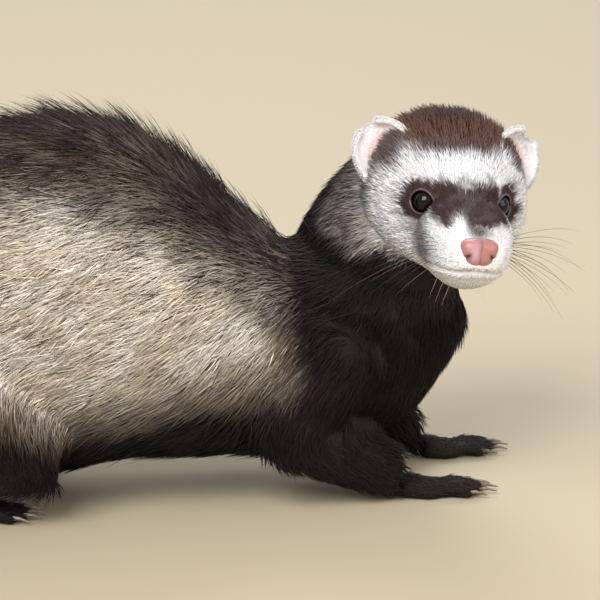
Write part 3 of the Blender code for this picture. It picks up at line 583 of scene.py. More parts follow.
def along_line(points, rows):
    """For each point its distance from a line over the line's radius, its share along the line, and the
    line's course and the spot there."""
    best = np.full(len(points), 1e9)
    share = np.zeros(len(points))
    course = np.zeros((len(points), 3))
    spot = np.zeros((len(points), 3))
    lengths = norms(np.diff(rows[:, :3], axis=0))
    reached = np.concatenate([[0], np.cumsum(lengths)])
    tangents = unit(np.gradient(rows[:, :3], axis=0))
    for index in range(len(rows) - 1):
        start = rows[index, :3]
        step = rows[index + 1, :3] - start
        t = np.clip(((points - start) @ step) / (step @ step), 0, 1)
        near = start + t[:, None] * step
        radius = rows[index, 3] * (1 - t) + rows[index + 1, 3] * t
        apart = norms(points - near) / radius
        closer = apart < best
        best = np.where(closer, apart, best)
        share = np.where(closer, (reached[index] + t * lengths[index]) / reached[-1], share)
        course = np.where(closer[:, None], mix(tangents[index], tangents[index + 1], t), course)
        spot = np.where(closer[:, None], near, spot)
    return best, share, unit(course), spot


class Shell:
    """A skin with the fields that its coat follows."""

    def __init__(self, thing, names):
        self.thing = thing
        self.names = names
        self.points, self.triangles, self.normals = arrays(thing)
        found = [along_line(self.points, LINES[name][1]) for name in names]
        apart = np.array([distance for distance, _, _, _ in found])
        self.shares = [share for _, share, _, _ in found]
        courses = [self.bent_course(name, course) for name, (_, _, course, _) in zip(names, found)]
        weights = np.exp(-7 * (apart - apart.min(axis=0)))
        self.weights = weights / weights.sum(axis=0)
        self.line = np.argmax(self.weights, axis=0)
        self.course = self.combed(sum(part[:, None] * course for part, course in zip(self.weights, courses)))

    def bent_course(self, name, course):
        """The lie of the coat along one line: drooping on the flanks, and back from the nose on the head."""
        points = self.points
        if name == "trunk":
            droop = np.radians(np.clip(34 + 0.28 * points[:, 0], 5, 60)) * np.abs(self.normals[:, 1])
            front = ramp(points[:, 0], 52, 78)
            return unit(turned(course, np.array([0, 0, -1]), droop * (1 - front) + BREAST_DROOP * front))
        if name == "head":
            return unit(points - np.array(HEAD_FRAME @ COAT_PARTING))
        return course

    def combed(self, course):
        """A course laid on the skin and evened out from point to point."""
        edges = np.vstack([self.triangles[:, [0, 1]], self.triangles[:, [1, 2]], self.triangles[:, [2, 0]]])
        count = len(self.points)
        degree = np.bincount(edges.ravel(), minlength=count)
        for _ in range(COMBING_ROUNDS):
            total = course * 2
            for axis in range(3):
                total[:, axis] += np.bincount(edges[:, 0], course[edges[:, 1], axis], count)
                total[:, axis] += np.bincount(edges[:, 1], course[edges[:, 0], axis], count)
            course = unit(laid(total / (degree + 2)[:, None], self.normals))
        return course

    def field(self, values):
        """A value for each point, blended from one value or row of values for each line."""
        return sum(weight * value for weight, value in zip(self.weights, values))

    def sample(self, count, density):
        """Random tuft roots, denser where density is high."""
        corners = self.points[self.triangles]
        area = norms(np.cross(corners[:, 1] - corners[:, 0], corners[:, 2] - corners[:, 0]))
        odds = area * density[self.triangles].mean(axis=1)
        chosen = DRAW.choice(len(self.triangles), count, p=odds / odds.sum())
        first = np.sqrt(DRAW.random(count))
        second = DRAW.random(count)
        shares = np.stack([1 - first, first * (1 - second), first * second], axis=1)
        return Roots(self, self.triangles[chosen], shares)


class Roots:
    """Tuft roots on a shell, where every field of the shell can be read."""

    def __init__(self, shell, triangles, shares):
        self.shell = shell
        self.triangles = triangles
        self.shares = shares
        self.points = self.read(shell.points)
        self.normals = unit(self.read(shell.normals))
        self.course = unit(self.read(shell.course))
        self.line = shell.line[triangles[:, 0]]

    def read(self, values):
        """A field of the shell at the roots."""
        corners = values[self.triangles]
        if corners.ndim == 3:
            return np.einsum("nk,nkd->nd", self.shares, corners)
        return np.sum(self.shares * corners, axis=1)


def head_marks(points):
    """The face's colours at points of the head: mask, brow, crown, muzzle and throat."""
    place = in_head_frame(points)
    ahead, left, up = place.T
    out = outward(place)
    side = out[:, 1]
    rough = noise(points, 3.2, 1) * 0.7 + noise(points, 1.3, 2) * 0.5
    colour = mix(WHITE, CREAM_PALE * 0.92, 0.45 * ramp(noise(points, 5, 3), -0.2, 0.9))
    crown = ramp(-3.5 - 0.022 * left**2 - ahead + rough * 1.6, -1.6, 2.6)
    foot = np.interp(ahead, (-22, -12), (2.0, 9.5))
    crown = crown * ramp(up + rough * 1.4, foot, foot + np.interp(ahead, (-22, -12), (14.0, 3.5)))
    brown = mix(CROWN, CROWN_DARK, ramp(up, 14, 21))
    frost = 0.35 + 0.5 * ramp(noise(points, 2.0, 4), -0.6, 0.6)
    brown = mix(brown, MASK_GREY * 0.9, frost * ramp(ahead + rough, -13, -6))
    colour = mix(colour, brown, crown)
    from_eye = norms((out - (np.array(EYE_AT) + MASK_FROM_EYE)) / [1.25, 1, 1])
    ring = 1 - ramp(from_eye + rough * 1.4, 4.9, 7.8)
    band = up + rough * 1.7
    bridge = ramp(band, -4.8, -2.4) * (1 - ramp(band, 4.6, 7.2)) * ramp(ahead, -1.5, 1.5)
    bridge *= 1 - ramp(side + rough, 9.5, 12.5)
    notch = np.exp(-(((left + 4.6) / 1.6) ** 2) - ((ahead - 17.8) / 2.6) ** 2)
    spot = np.exp(-((left / 3.4) ** 2) - ((ahead - 20.5) / 2.2) ** 2) * ramp(up, -6.2, -4.6)
    bridge = np.clip(np.maximum(bridge, spot) - notch * 1.7, 0, 1)
    streak = 1 - ramp(distance_to_run(out, STREAK) + rough * 1.5, 1.4, 7.0)
    mask = np.clip(np.maximum(np.maximum(ring, bridge), streak * 0.75), 0, 1)
    tone = mix(MASK, MASK_GREY, 0.7 * ramp(noise(points, 2.0, 5), -0.3, 0.8) * (side < 9))
    colour = mix(colour, tone, mask)
    colour = mix(colour, DARK, 0.75 * (1 - ramp(from_eye, 3.9, 5.4)))
    base = norms((out - EAR_BASE) / [1.2, 0.8, 1.2])
    colour = mix(colour, EAR_DARK * 0.9, 0.85 * (1 - ramp(base + rough, 2.5, 7.0)))
    behind = ramp(-ahead + rough * 2.4 + up * 0.10, 12, 18.5) * (1 - crown)
    nape = mix(DARK * 1.5, CREAM, 0.3 * ramp(noise(points, 3, 6), -0.3, 0.8))
    colour = mix(colour, nape, 0.85 * behind)
    throat = ramp(-up + rough * 1.5 + 0.34 * (-ahead), 23.5, 27.5)
    return mix(colour, BLACK * 1.2, throat)


# The middle of the mask's ring from the eye, the darker patch in front of the ear's base, and the dark
# streak from under each eye down the side of the muzzle, all with y measured outwards
MASK_FROM_EYE = (0.6, 2.4, 0)
EAR_BASE = np.array([-15.5, 17.5, 8.5])
STREAK = np.array([(1, 13.2, -4.6), (6, 12.8, -7.2), (9.4, 13.3, -10.6), (8.7, 12.8, -12.8)], float)


def distance_to_run(points, run):
    """Distance of points from a bent line."""
    best = np.full(len(points), 1e9)
    for start, end in zip(run, run[1:]):
        step = end - start
        t = np.clip(((points - start) @ step) / (step @ step), 0, 1)
        best = np.minimum(best, norms(points - start - t[:, None] * step))
    return best


def cream_share(points):
    """How cream the coat is: the flanks' saddle between the dark shoulders, belly, legs and tail."""
    x, _, z = points.T
    rough = noise(points, 9, 7) * 3 + noise(points, 3.5, 8) * 2
    front = ramp(40 - 0.10 * np.abs(z - 58) - x + rough, -6, 9)
    floor = np.interp(x, (-110, -60, -32, 0, 30), (64, 47, 32, 36, 43))
    return front * ramp(z - floor + rough * 0.8, -8, 13) * ramp(x + rough, -128, -98)


def ridge_share(points):
    """How near the coat is to the dark line of the back."""
    top = np.interp(points[:, 0], *np.array(CREST, float).T)
    return 1 - ramp(top - points[:, 2] + noise(points, 8, 9) * 2 + noise(points, 2.5, 13) * 2.5, 6, 29)


def body_marks(points):
    """The body's colours at its points: at the roots and at the tips."""
    cream = cream_share(points)
    ridge = ridge_share(points) * ramp(-points[:, 0], -60, -20)
    pale = mix(CREAM, CREAM_PALE, ramp(noise(points, 7, 10), -0.5, 0.8))
    black = mix(BLACK, DARK, 0.6 * ramp(noise(points, 5, 11), -0.2, 0.9))
    edge = 4 * cream * (1 - cream)
    root = mix(mix(black, pale, cream), BROWN, 0.5 * edge)
    root = mix(root, DARK * 1.1, 0.94 * ridge * cream)
    tip = mix(mix(root, BROWN, 0.08 * cream), DARK * 0.55, 0.98 * ridge)
    ahead, left, up = in_head_frame(points).T
    nape = np.exp(-(((ahead + 27) / 9) ** 2)) * ramp(np.abs(left), 8, 16) * ramp(up, -16, -4)
    light = mix(BROWN * 1.1, CREAM, 0.45 * ramp(noise(points, 3, 6), -0.5, 0.7))
    sheen = ramp(noise(points, 11, 12), 0.0, 0.9) * (1 - cream) * ramp(points[:, 2], 25, 60)
    tip = mix(mix(tip, light, 0.35 * nape), DARK * 1.5, 0.5 * sheen)
    return mix(root, light, 0.45 * nape), tip


def marks(points, on_head):
    """The colours of the skin and the coat, at the roots and at the tips."""
    root, tip = body_marks(points)
    if not on_head:
        return root, tip
    face = head_marks(points)
    share = ramp(in_head_frame(points)[:, 0], -40, -30)
    return mix(root, face, share), mix(tip, face, share)


def in_head_box(points, grow):
    """Whether points lie in the box that parts the head from the neck."""
    centre, size, roll = HEAD_BOX
    place = (points - np.array(centre)) @ np.array(Matrix.Rotation(roll, 3, "X"))
    return np.all(np.abs(place) < np.array(size) * 0.5 + grow, axis=1)


def paint(thing, colours):
    """Gives an object's points their colours and shades its faces smooth."""
    thing.data.shade_smooth()
    layer = thing.data.color_attributes.new("coat", "FLOAT_COLOR", "POINT")
    rows = np.ones((len(colours), 4), np.float32)
    rows[:, :3] = colours
    layer.data.foreach_set("color", rows.ravel())


def tufts(name, roots, length, lift, width, colours, clump, clump_size, shares=(0, 0.5), stray=0.16):
    """A joined mesh of tapered three-sided tufts on their roots, with their colours at root and tip."""
    points, normals = roots.points, roots.normals
    count = len(points)
    side = unit(np.cross(roots.course, normals))
    turn = DRAW.normal(0, stray, count) + noise(points, 14, 20) * 0.16
    course = unit(turned(roots.course, side, turn))
    side = unit(np.cross(course, normals))
    roll = DRAW.normal(0, 0.5, count)
    across = turned(side, normals, roll)
    ridge = turned(normals, side, -roll)
    length = length * DRAW.uniform(0.78, 1.18, count)
    lift = np.radians(lift) * DRAW.uniform(0.7, 1.3, count) * (1 + 0.25 * noise(points, 10, 21))
    pull = clump_pull(points, normals, clump_size) * clump
    curve = DRAW.normal(0, 0.06, count)
    base = map_places(roots)
    rings = []
    tints = []
    places = []
    for share in (*shares, 1):
        rise = np.sin(lift) * (share - 0.38 * share**2) * length - (0 if share else ROOT_DEPTH)
        centre = points + course * (np.cos(lift) * share * length)[:, None] + normals * rise[:, None]
        centre = centre + side * (curve * length * share**2)[:, None] + pull * share**1.3
        profile = 1 - 0.75 * (share - 0.3) ** 2 - 0.35 * share if share else 0.75
        half = (np.broadcast_to(width, count) * profile)[:, None]
        ring = [(0, centre)]
        if share < 1:
            ring = [(-0.5, centre - across * half), (0, centre + ridge * half * 0.6)]
            ring.append((0.5, centre + across * half))
        for aside, corner in ring:
            rings.append(corner)
            tints.append(mix(*colours, np.full(count, eased(share * 1.1))))
            places.append(np.clip(base + np.array([share - 0.5, aside]) * MAP_PATCH, 0, 1))
    placed = np.stack(rings, axis=1)
    placed[..., 2] = np.maximum(placed[..., 2], FLOOR_GAP)
    return tuft_mesh(name, placed, np.stack(tints, axis=1), len(shares), np.stack(places, axis=1))


def clump_pull(points, normals, size):
    """For each root, the way to the middle of its clump, along the skin."""
    count = max(int(len(points) / max(size * 3.2, 2)), 8)
    middles = points[DRAW.choice(len(points), count, replace=False)]
    tree = KDTree(count)
    for index, middle in enumerate(middles):
        tree.insert(middle, index)
    tree.balance()
    nearest = np.array([tree.find(point)[1] for point in points])
    way = laid(middles[nearest] - points, normals)
    return way * np.minimum(1, size / np.maximum(norms(way), 1e-6))[:, None]


def map_places(roots):
    """The place of each root on its line's own unwrapped strip of the map."""
    used = sorted(set(roots.line.tolist()))
    base = np.zeros((len(roots.points), 2))
    for strip, line in enumerate(used):
        mine = roots.line == line
        _, share, course, spot = along_line(roots.points[mine], LINES[roots.shell.names[line]][1])
        spoke = roots.points[mine] - spot
        level = unit(np.cross(course, np.array([0.05, 0.02, 1.0])))
        rise = np.cross(level, course)
        angle = np.arctan2(np.sum(spoke * rise, axis=1), np.sum(spoke * level, axis=1))
        base[mine, 0] = (strip + 0.02 + 0.96 * share) / len(used)
        base[mine, 1] = 0.01 + 0.98 * (angle / (2 * math.pi) + 0.5)
    return base


def tuft_mesh(name, placed, painted, rings, places):
    """One mesh of many alike tufts, with their colours and map places."""
    count, corners = placed.shape[:2]
    faces = [(2, 1, 0)]
    for first in range(0, (rings - 1) * 3, 3):
        for near, after, above, over in ring_faces(first, first + 3, 3):
            faces += [(near, after, above), (near, above, over)]
    faces += [face[:2] + (rings * 3,) for face in ring_faces((rings - 1) * 3, 0, 3)]
    index = (np.arange(count)[:, None, None] * corners + np.array(faces)[None]).reshape(-1)
    mesh = bpy.data.meshes.new(name)
    mesh.vertices.add(count * corners)
    mesh.vertices.foreach_set("co", packed(placed.reshape(-1, 3)).ravel())
    mesh.loops.add(len(index))
    mesh.loops.foreach_set("vertex_index", index.astype(np.int32))
    mesh.polygons.add(len(index) // 3)
    mesh.polygons.foreach_set("loop_start", np.arange(0, len(index), 3, dtype=np.int32))
    mesh.polygons.foreach_set("loop_total", np.full(len(index) // 3, 3, dtype=np.int32))
    mesh.update(calc_edges=True)
    made = linked(name, mesh)
    paint(made, painted.reshape(-1, 3))
    layer = mesh.uv_layers.new(name=MAP_NAME)
    layer.data.foreach_set("uv", places.reshape(-1, 2)[index].astype(np.float32).ravel())
    return made


def set_inputs(node, values):
    """Sets a node's sockets, with _ for each space in their names."""
    for key, value in values.items():
        node.inputs[key.replace("_", " ")].default_value = value


def principled(name, **values):
    """A material with its shader."""
    made = bpy.data.materials.new(name)
    made.use_nodes = True
    shader = made.node_tree.nodes["Principled BSDF"]
    set_inputs(shader, values)
    return made, shader


def shader_node(tree, kind, **values):
    """A node of a material with the constants of some of its sockets."""
    made = tree.nodes.new("ShaderNode" + kind)
    set_inputs(made, values)
    return made


def connect(tree, *pairs):
    """Links sockets: each pair of nodes with the names of its output and its input."""
    for source, output, target, socket in pairs:
        tree.links.new(source.outputs[output], target.inputs[socket])


def painted_material(name, roughness, specular, streak, depth, size, **values):
    """A material of the painted colours, with fine variation and a bump."""
    made, shader = principled(name, Roughness=roughness, Specular_IOR_Level=specular, **values)
    tree = made.node_tree
    colour = tree.nodes.new("ShaderNodeAttribute")
    colour.attribute_name = "coat"
    place = shader_node(tree, "TexCoord")
    grain = shader_node(tree, "TexNoise", Scale=size, Detail=4)
    levels = shader_node(tree, "MapRange", To_Min=1 - streak, To_Max=1 + streak)
    shade = tree.nodes.new("ShaderNodeMix")
    shade.data_type = "RGBA"
    shade.blend_type = "MULTIPLY"
    shade.inputs["Factor"].default_value = 1
    connect(
        tree,
        (place, "Object", grain, "Vector"),
        (grain, "Fac", levels, "Value"),
        (colour, "Color", shade, "A"),
        (levels, "Result", shade, "B"),
        (shade, "Result", shader, "Base Color"),
    )
    if depth:
        bump = shader_node(tree, "Bump", Strength=depth, Distance=BUMP_HEIGHT)
        connect(tree, (grain, "Fac", bump, "Height"), (bump, "Normal", shader, "Normal"))
    return made


def dress(thing, material):
    """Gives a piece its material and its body."""
    thing.data.materials.append(material)
    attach(thing, "root")


def shell_depth(shell):
    """How deep the skin lies inside the outline at each point."""
    kinds = [LINES[name][0] for name in shell.names]
    depth = coat_values(shell, 0)
    rear = ramp(-shell.points[:, 0], 5, 40) * ramp(-shell.points[:, 0], 150, 120)
    depth = depth + RIDGE_DEPTH * ridge_share(shell.points) * rear
    for kind, weight, share in zip(kinds, shell.weights, shell.shares):
        if kind == "leg":
            depth = depth * (1 - 0.92 * weight * ramp(share, 0.62, 0.9))
    return depth * (1 - 0.75 * ramp(-shell.normals[:, 2], 0.3, 0.9))


def body_shell():
    """The skin of the body and legs, inside the solids by the depth of the coat."""
    solids = node_shapes(["chest", *LEGS], NODE_SWELL)
    tail = path_shape(TAIL, 32, Vector((0, 0, 1)))
    shapes = together(solids, trunk_shape(), tail, neck_shape(NECK))
    thing = fused("body_skin", *shapes, *BODY_MESH)
    lines = ["neck", "trunk", "tail", "foreleg_right", "foreleg_left", "hindleg_right", "hindleg_left"]
    shell = Shell(thing, lines)
    set_points(thing, shell.points - shell.normals * shell_depth(shell)[:, None])
    return Shell(thing, lines)


def paw_shell():
    """The skin of the paws, close inside the solids."""
    pieces = []
    for name in PAWS:
        thing = fused(name + "_skin", *node_shapes([name], 0.0), *PAW_MESH)
        points, triangles, normals = arrays(thing)
        pieces.append((points - normals * COAT["paw"][0] * (points[:, 2:] > 1), triangles))
        bpy.data.objects.remove(thing)
    return Shell(new_object("paw_skin", *together(*pieces)), PAWS)


def face_depth(place):
    """How deep the skin of the head lies under its coat, from the crown and throat forwards to the nose."""
    return np.interp(place[:, 0], (-40, -28, -14, -4, 6, 16, 24), (3.6, 3.2, 2.4, 1.2, 0.6, 0.25, 0.0))


def mouth_run(thing):
    """Points along the line of the mouth, on the skin."""
    faces = [tuple(face.vertices) for face in thing.data.polygons]
    tree = BVHTree.FromPolygons([vertex.co for vertex in thing.data.vertices], faces)
    rows = []
    for index in range(2 * MOUTH_STEPS + 1):
        share = index / MOUTH_STEPS - 1
        angle = MOUTH_TURN * share
        droop = 1.7 * share * share - 0.5 * math.cos(share * math.pi * 3) * math.exp(-((share / 0.3) ** 2))
        inner = MOUTH_CENTRE + Vector((0, 0, -droop))
        ahead = Vector((math.cos(angle), math.sin(angle), 0))
        start = (HEAD_FRAME @ (inner + ahead * 40) + SHIFT) * MM
        hit = tree.ray_cast(start, HEAD_FRAME.to_3x3() @ -ahead)[0]
        rows.append(TO_HEAD @ (hit / MM - SHIFT))
    return np.array(rows)


def with_lids(place):
    """Points of the head's frame drawn to a low dome round each eye."""
    for side in (1, -1):
        centre = np.array(mirrored(EYE_AT, side))
        ray = place - centre
        reach = norms(ray)
        turn = np.arccos(np.clip(ray @ np.array(mirrored(EYE_AIM, side)) / reach, -1, 1))
        share = eased(1 - (turn - math.radians(44)) / math.radians(40)) * eased((14 - reach) / 5)
        place = centre + ray / reach[:, None] * (reach + (LID_RADIUS - reach) * share)[:, None]
    return place


def eye_frame(side):
    """The frame of one eye in the head's frame: x along its aim, y level, z up."""
    aim = mirrored(EYE_AIM, side)
    across = Vector((0, 0, 1)).cross(aim).normalized()
    turn = Matrix((aim, across, aim.cross(across))).transposed().to_4x4()
    return Matrix.Translation(mirrored(EYE_AT, side)) @ turn


def lid_edge(side):
    """Points round the opening of an eye's lids, on the dome of the lids, and the radius of their rim."""
    half, height = EYE_OPENING
    points = []
    radii = []
    for index in range(LID_POINTS):
        angle = 2 * math.pi * index / LID_POINTS
        stretch = 1 + 0.10 * abs(math.cos(angle)) ** 8
        across = half * math.cos(angle) * stretch * LID_GROW
        rise = height * math.sin(angle) * LID_GROW
        out = math.sqrt(LID_RADIUS**2 - across**2 - rise**2)
        points.append(HEAD_FRAME @ (eye_frame(side) @ Vector((out, across, rise))))
        radii.append(LID_RIM * (1.25 if abs(math.cos(angle)) > 0.9 else 1))
    return points, radii


def in_openings(place, grow):
    """Whether points of the head's frame lie in the opening of either eye's lids."""
    half, height = EYE_OPENING
    inside = np.zeros(len(place), bool)
    for side in (1, -1):
        ahead, across, rise = moved(place, eye_frame(side).inverted()).T
        inside |= ((across / (half * grow)) ** 2 + (rise / (height * grow)) ** 2 < 1) & (ahead > 0)
    return inside


def head_shell():
    """The skin of the head: lids, lips and the line of the mouth."""
    thing = fused("head_skin", *together(skull_shape(), neck_shape(NECK[1:])), *HEAD_MESH)
    points, _, normals = arrays(thing)
    points = points - normals * face_depth(in_head_frame(points))[:, None]
    set_points(thing, moved(with_lids(in_head_frame(points)), HEAD_FRAME))
    run = mouth_run(thing)
    points, _, normals = arrays(thing)
    place = in_head_frame(points)
    apart = distance_to_run(place, run)
    sink = 0.9 * np.exp(-((apart / 0.55) ** 2)) - 0.3 * np.exp(-(((apart - 1.5) / 0.9) ** 2))
    sink = sink * ramp(place[:, 0], 4, 14)
    sink = sink + 0.7 * np.exp(-((distance_to_run(place, LIP_CLEFT) / 0.5) ** 2))
    set_points(thing, points - normals * sink[:, None])
    return Shell(edited(thing, open_lids), ["head", "neck"]), run


def open_lids(work):
    """Takes away the skin in the opening of each eye."""
    centres = np.array([face.calc_center_median()[:] for face in work.faces]) / MM - np.array(SHIFT)
    gone = in_openings(in_head_frame(centres), 1.0)
    bmesh.ops.delete(work, geom=[face for face, inside in zip(work.faces, gone) if inside], context="FACES")


def ring_tube(points, radii, sides, closed=True):
    """Points and faces of a tube along points, closed to a ring or with a flat face at each end."""
    count = len(points)
    rows = []
    middle = sum(points, Vector()) / count
    for index, point in enumerate(points):
        if closed:
            ahead = points[(index + 1) % count] - points[index - 1]
        else:
            ahead = points[min(index + 1, count - 1)] - points[max(index - 1, 0)]
        guide = point - middle if closed else Vector((0.03, 0.02, 1))
        side = ahead.cross(guide).normalized()
        top = side.cross(ahead).normalized()
        for corner in range(sides):
            angle = 2 * math.pi * corner / sides
            rows.append(point + (side * math.cos(angle) + top * math.sin(angle)) * radii[index])
    faces = []
    for ring in range(count if closed else count - 1):
        faces += ring_faces(ring * sides, (ring + 1) % count * sides, sides)
    if not closed:
        faces += [tuple(reversed(range(sides))), tuple(range((count - 1) * sides, count * sides))]
    return rows, faces


def painted_object(name, points, faces, colours):
    """An object in its own painted colours."""
    made = new_object(name, points, faces)
    paint(made, np.array(colours))
    return made


def sphere(segments, rings, radius):
    """Points and faces of a round ball."""
    work = bmesh.new()
    bmesh.ops.create_uvsphere(work, u_segments=segments, v_segments=rings, radius=radius)
    points = [vertex.co.copy() for vertex in work.verts]
    faces = [[vertex.index for vertex in face.verts] for face in work.faces]
    work.free()
    return points, faces


def build_eyes():
    """The eyeballs, with their cornea and dark iris, and the rims of the lids."""
    wet = painted_material("eye_wet", 0.12, 0.15, 0.05, 0, 900, Coat_Weight=0.28, Coat_Roughness=0.02)
    rim = painted_material("lid_rim", 0.42, 0.5, 0.12, 0.3, 1400, Coat_Weight=0.3)
    upright, faces = sphere(48, 32, EYE_RADIUS)
    turn = Matrix.Rotation(math.radians(90), 4, "Y")
    for name, side in SIDES:
        place = []
        colours = []
        for point in upright:
            point = turn @ point
            off = math.hypot(point.y, point.z)
            bulge = CORNEA_BULGE * max(1 - (off / CORNEA_RADIUS) ** 2, 0) if point.x > 0 else 0
            colours.append(eye_colour(off, point.x))
            place.append(HEAD_FRAME @ eye_frame(side) @ (point + Vector((bulge, 0, 0))))
        ball = painted_object("eyeball_" + name, place, faces, colours)
        dress(ball, wet)
        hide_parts("eye_" + name)
        lid = new_object("lid_" + name, *ring_tube(*lid_edge(side), 10))
        own = arrays(lid)[0]
        paint(lid, mix(LID_GREY, LIP_PINK * 0.6, 0.1 + 0.1 * noise(own, 1.5, 30)))
        dress(lid, rim)


def eye_colour(off, ahead):
    """The colour of the eyeball at a distance from its aim: pupil, iris and edge."""
    if ahead < 0:
        return EYE_EDGE
    if off < PUPIL_RADIUS:
        return EYE_PUPIL
    if off < IRIS_RADIUS:
        return EYE_PUPIL + (EYE_IRIS - EYE_PUPIL) * float(eased((off - PUPIL_RADIUS) / 0.9))
    return EYE_IRIS + (EYE_EDGE - EYE_IRIS) * float(eased((off - IRIS_RADIUS) / 0.5))


def build_nose():
    """The nose pad with its furrow, nostrils and pebbled skin, a painted highlight on its right side and
    painted shade in the nostrils.
    """
    points, faces = sphere(72, 48, 1)
    turn = Matrix.Translation(NOSE_AT) @ Matrix.Rotation(NOSE_TILT, 4, "Y")
    place = []
    colours = []
    for x, y, z in points:
        squared = (abs(y) ** NOSE_POWER + abs(z) ** NOSE_POWER + abs(x) ** NOSE_POWER) ** (1 / NOSE_POWER)
        x, y, z = x / squared, y / squared, z / squared
        taper = 0.81 + 0.19 * z
        furrow = 0.35 * math.exp(-((y * taper / 0.09) ** 2)) * (x > 0) * float(ramp(-z, -0.75, 0.1))
        spot = turn @ Vector((x * NOSE_SIZE[0] - furrow, y * NOSE_SIZE[1] * taper, z * NOSE_SIZE[2]))
        hollow = max(nostril(spot, side) for side in (1, -1)) if x > -0.3 else 0
        place.append(HEAD_FRAME @ (spot - Vector((NOSTRIL_DEPTH, 0, 0)) * hollow))
        # A lighter patch on the right side of the pad, towards the key light: a painted highlight.
        painted_highlight = math.exp(-(((y + 0.35) / 0.3) ** 2) - (z / 0.7) ** 2) * 0.8
        colour = NOSE_PINK + (NOSE_PAINTED_HIGHLIGHT - NOSE_PINK) * painted_highlight
        colour = colour * (1 - 0.35 * math.exp(-((y / 0.07) ** 2)) * (x > 0))
        colour = colour * (0.72 if z > 0.86 else 1)
        # The nostril hollows are painted dark: painted shade for the unlit inside of the openings.
        colours.append(colour + (NOSTRIL_PAINTED_SHADE - colour) * min(hollow * 1.2, 1))
    pad = painted_object("nose_skin", place, faces, colours)
    soft = {"Coat_Weight": 0.25, "Subsurface_Weight": 0.1, "Subsurface_Scale": 0.002}
    dress(pad, painted_material("nose_moist", 0.36, 0.5, 0.14, 0.55, 1500, **soft))
    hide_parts("nose")


def nostril(spot, side):
    """How far a spot of the nose lies in the slanted hollow of a nostril."""
    way = spot - mirrored(NOSTRIL_AT, side)
    slant = NOSTRIL_SLANT * side
    across = way.y * math.cos(slant) + way.z * math.sin(slant)
    along = -way.y * math.sin(slant) + way.z * math.cos(slant)
    return math.exp(-((across / 0.62) ** 2) - (along / 1.0) ** 2)


def ear_shape(side):
    """The cup of an ear in its own frame and the turn to the head's frame."""
    columns = 19
    rows = 15
    points = []
    for row in range(rows):
        up = -0.4 + 1.4 * row / (rows - 1)
        width = math.sqrt(1 - (max(up, 0) / 1.04) ** 2.4)
        width *= 1 - 0.3 * max(-up, 0)
        for column in range(columns):
            bend = EAR_BEND * (2 * column / (columns - 1) - 1)
            reach = math.sin(bend) / math.sin(EAR_BEND)
            cup = EAR_CUP * (1 - math.cos(bend)) / (1 - math.cos(EAR_BEND))
            lean = -2.0 * up * abs(up)
            points.append((cup + lean - 3.0, EAR_WIDTH * 0.5 * width * reach, EAR_HEIGHT * up))
    faces = []
    for start in range((rows - 1) * columns):
        if (start + 1) % columns:
            faces.append((start, start + 1, start + columns + 1, start + columns))
    turn = Matrix.Rotation(EAR_TURN * side, 4, "Z") @ Matrix.Rotation(-EAR_TILT * side, 4, "X")
    turn = turn @ Matrix.Rotation(math.radians(-6), 4, "Y")
    return points, faces, Matrix.Translation(mirrored(EAR_AT, side)) @ turn


def rim_share(own):
    """How far points of an ear lie inside its rim: 0 on the rim and 1 in the middle of the base."""
    return 1 - np.sqrt((own[:, 1] / (EAR_WIDTH * 0.5)) ** 2 + (np.maximum(own[:, 2], 0) / EAR_HEIGHT) ** 2)


def ear_colour(own, normals, side):
    """Ear colours in its own frame: white fur outside and on the rim, pink inside, and brown in its depth,
    partly its dark hair and partly painted shade.
    """
    inside = ramp(normals[:, 0], 0.1, 0.5) * ramp(rim_share(own), 0.20, 0.38)
    # Brown towards the bottom of the cup and the head's midline: partly dark hair, partly painted shade in
    # the ear's depth.
    deep = np.maximum(ramp(-own[:, 2], -4.5, 1.5) * 0.8, ramp(-own[:, 1] * side, -1.5, 5.0) * 0.9)
    return mix(EAR_WHITE, mix(EAR_PINK, EAR_DARK, deep), inside), inside


def build_ears(fur):
    """The ears and the short fur on their backs and rims."""
    thin = {"Subsurface_Weight": 0.2, "Subsurface_Scale": 0.003}
    skin = painted_material("ear_thin", 0.6, 0.35, 0.08, 0.3, 900, **thin)
    for name, side in SIDES:
        points, faces, turn = ear_shape(side)
        thing = new_object("ear_skin_" + name, np.array(points, np.float32), faces)
        shell = thing.modifiers.new("Shell", "SOLIDIFY")
        shell.thickness = EAR_THICKNESS * MM
        shell.offset = 0
        rounded = thing.modifiers.new("Round", "SUBSURF")
        rounded.levels = 1
        rounded.render_levels = 1
        edited(evaluated(thing), lambda work: bmesh.ops.recalc_face_normals(work, faces=work.faces))
        own, _, normals = arrays(thing)
        colours, inside = ear_colour(own, normals, side)
        matrix = HEAD_FRAME @ turn
        set_points(thing, moved(own, matrix))
        paint(thing, colours)
        dress(thing, skin)
        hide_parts("ear_" + name)
        ear_fur(name, thing, own, inside, matrix, colours, fur)


def ear_fur(name, thing, own, inside, matrix, colours, fur):
    """Short fur on one ear: dense on the back and rim, sparse inside and brown in the ear's depth, where its
    dark hair and painted shade lie.
    """
    shell = Shell(thing, ["head"])
    edge = rim_share(own)
    course = unit(own * [0, 1, 1.2] + [0.001, 0, 2.0]) @ np.array(matrix)[:3, :3].T
    shell.course = unit(laid(course, shell.normals, 0.8))
    roots = shell.sample(EAR_TUFTS // THINNING, 1.0 - 0.75 * inside + 1.2 * (edge < 0.2))
    colour = roots.read(colours)
    depths = 1.4 * roots.read(inside) * ramp(-roots.read(own[:, 2]), -4, 2)
    length = 1.0 + 0.25 * (roots.read(edge) < 0.2) + depths
    # The roots are a little darker than the tips: painted shade between the hairs.
    made = tufts("ear_coat_" + name, roots, length, 9.0, 0.12, (colour * 0.95, colour), 0.3, 1.5)
    dress(made, fur)


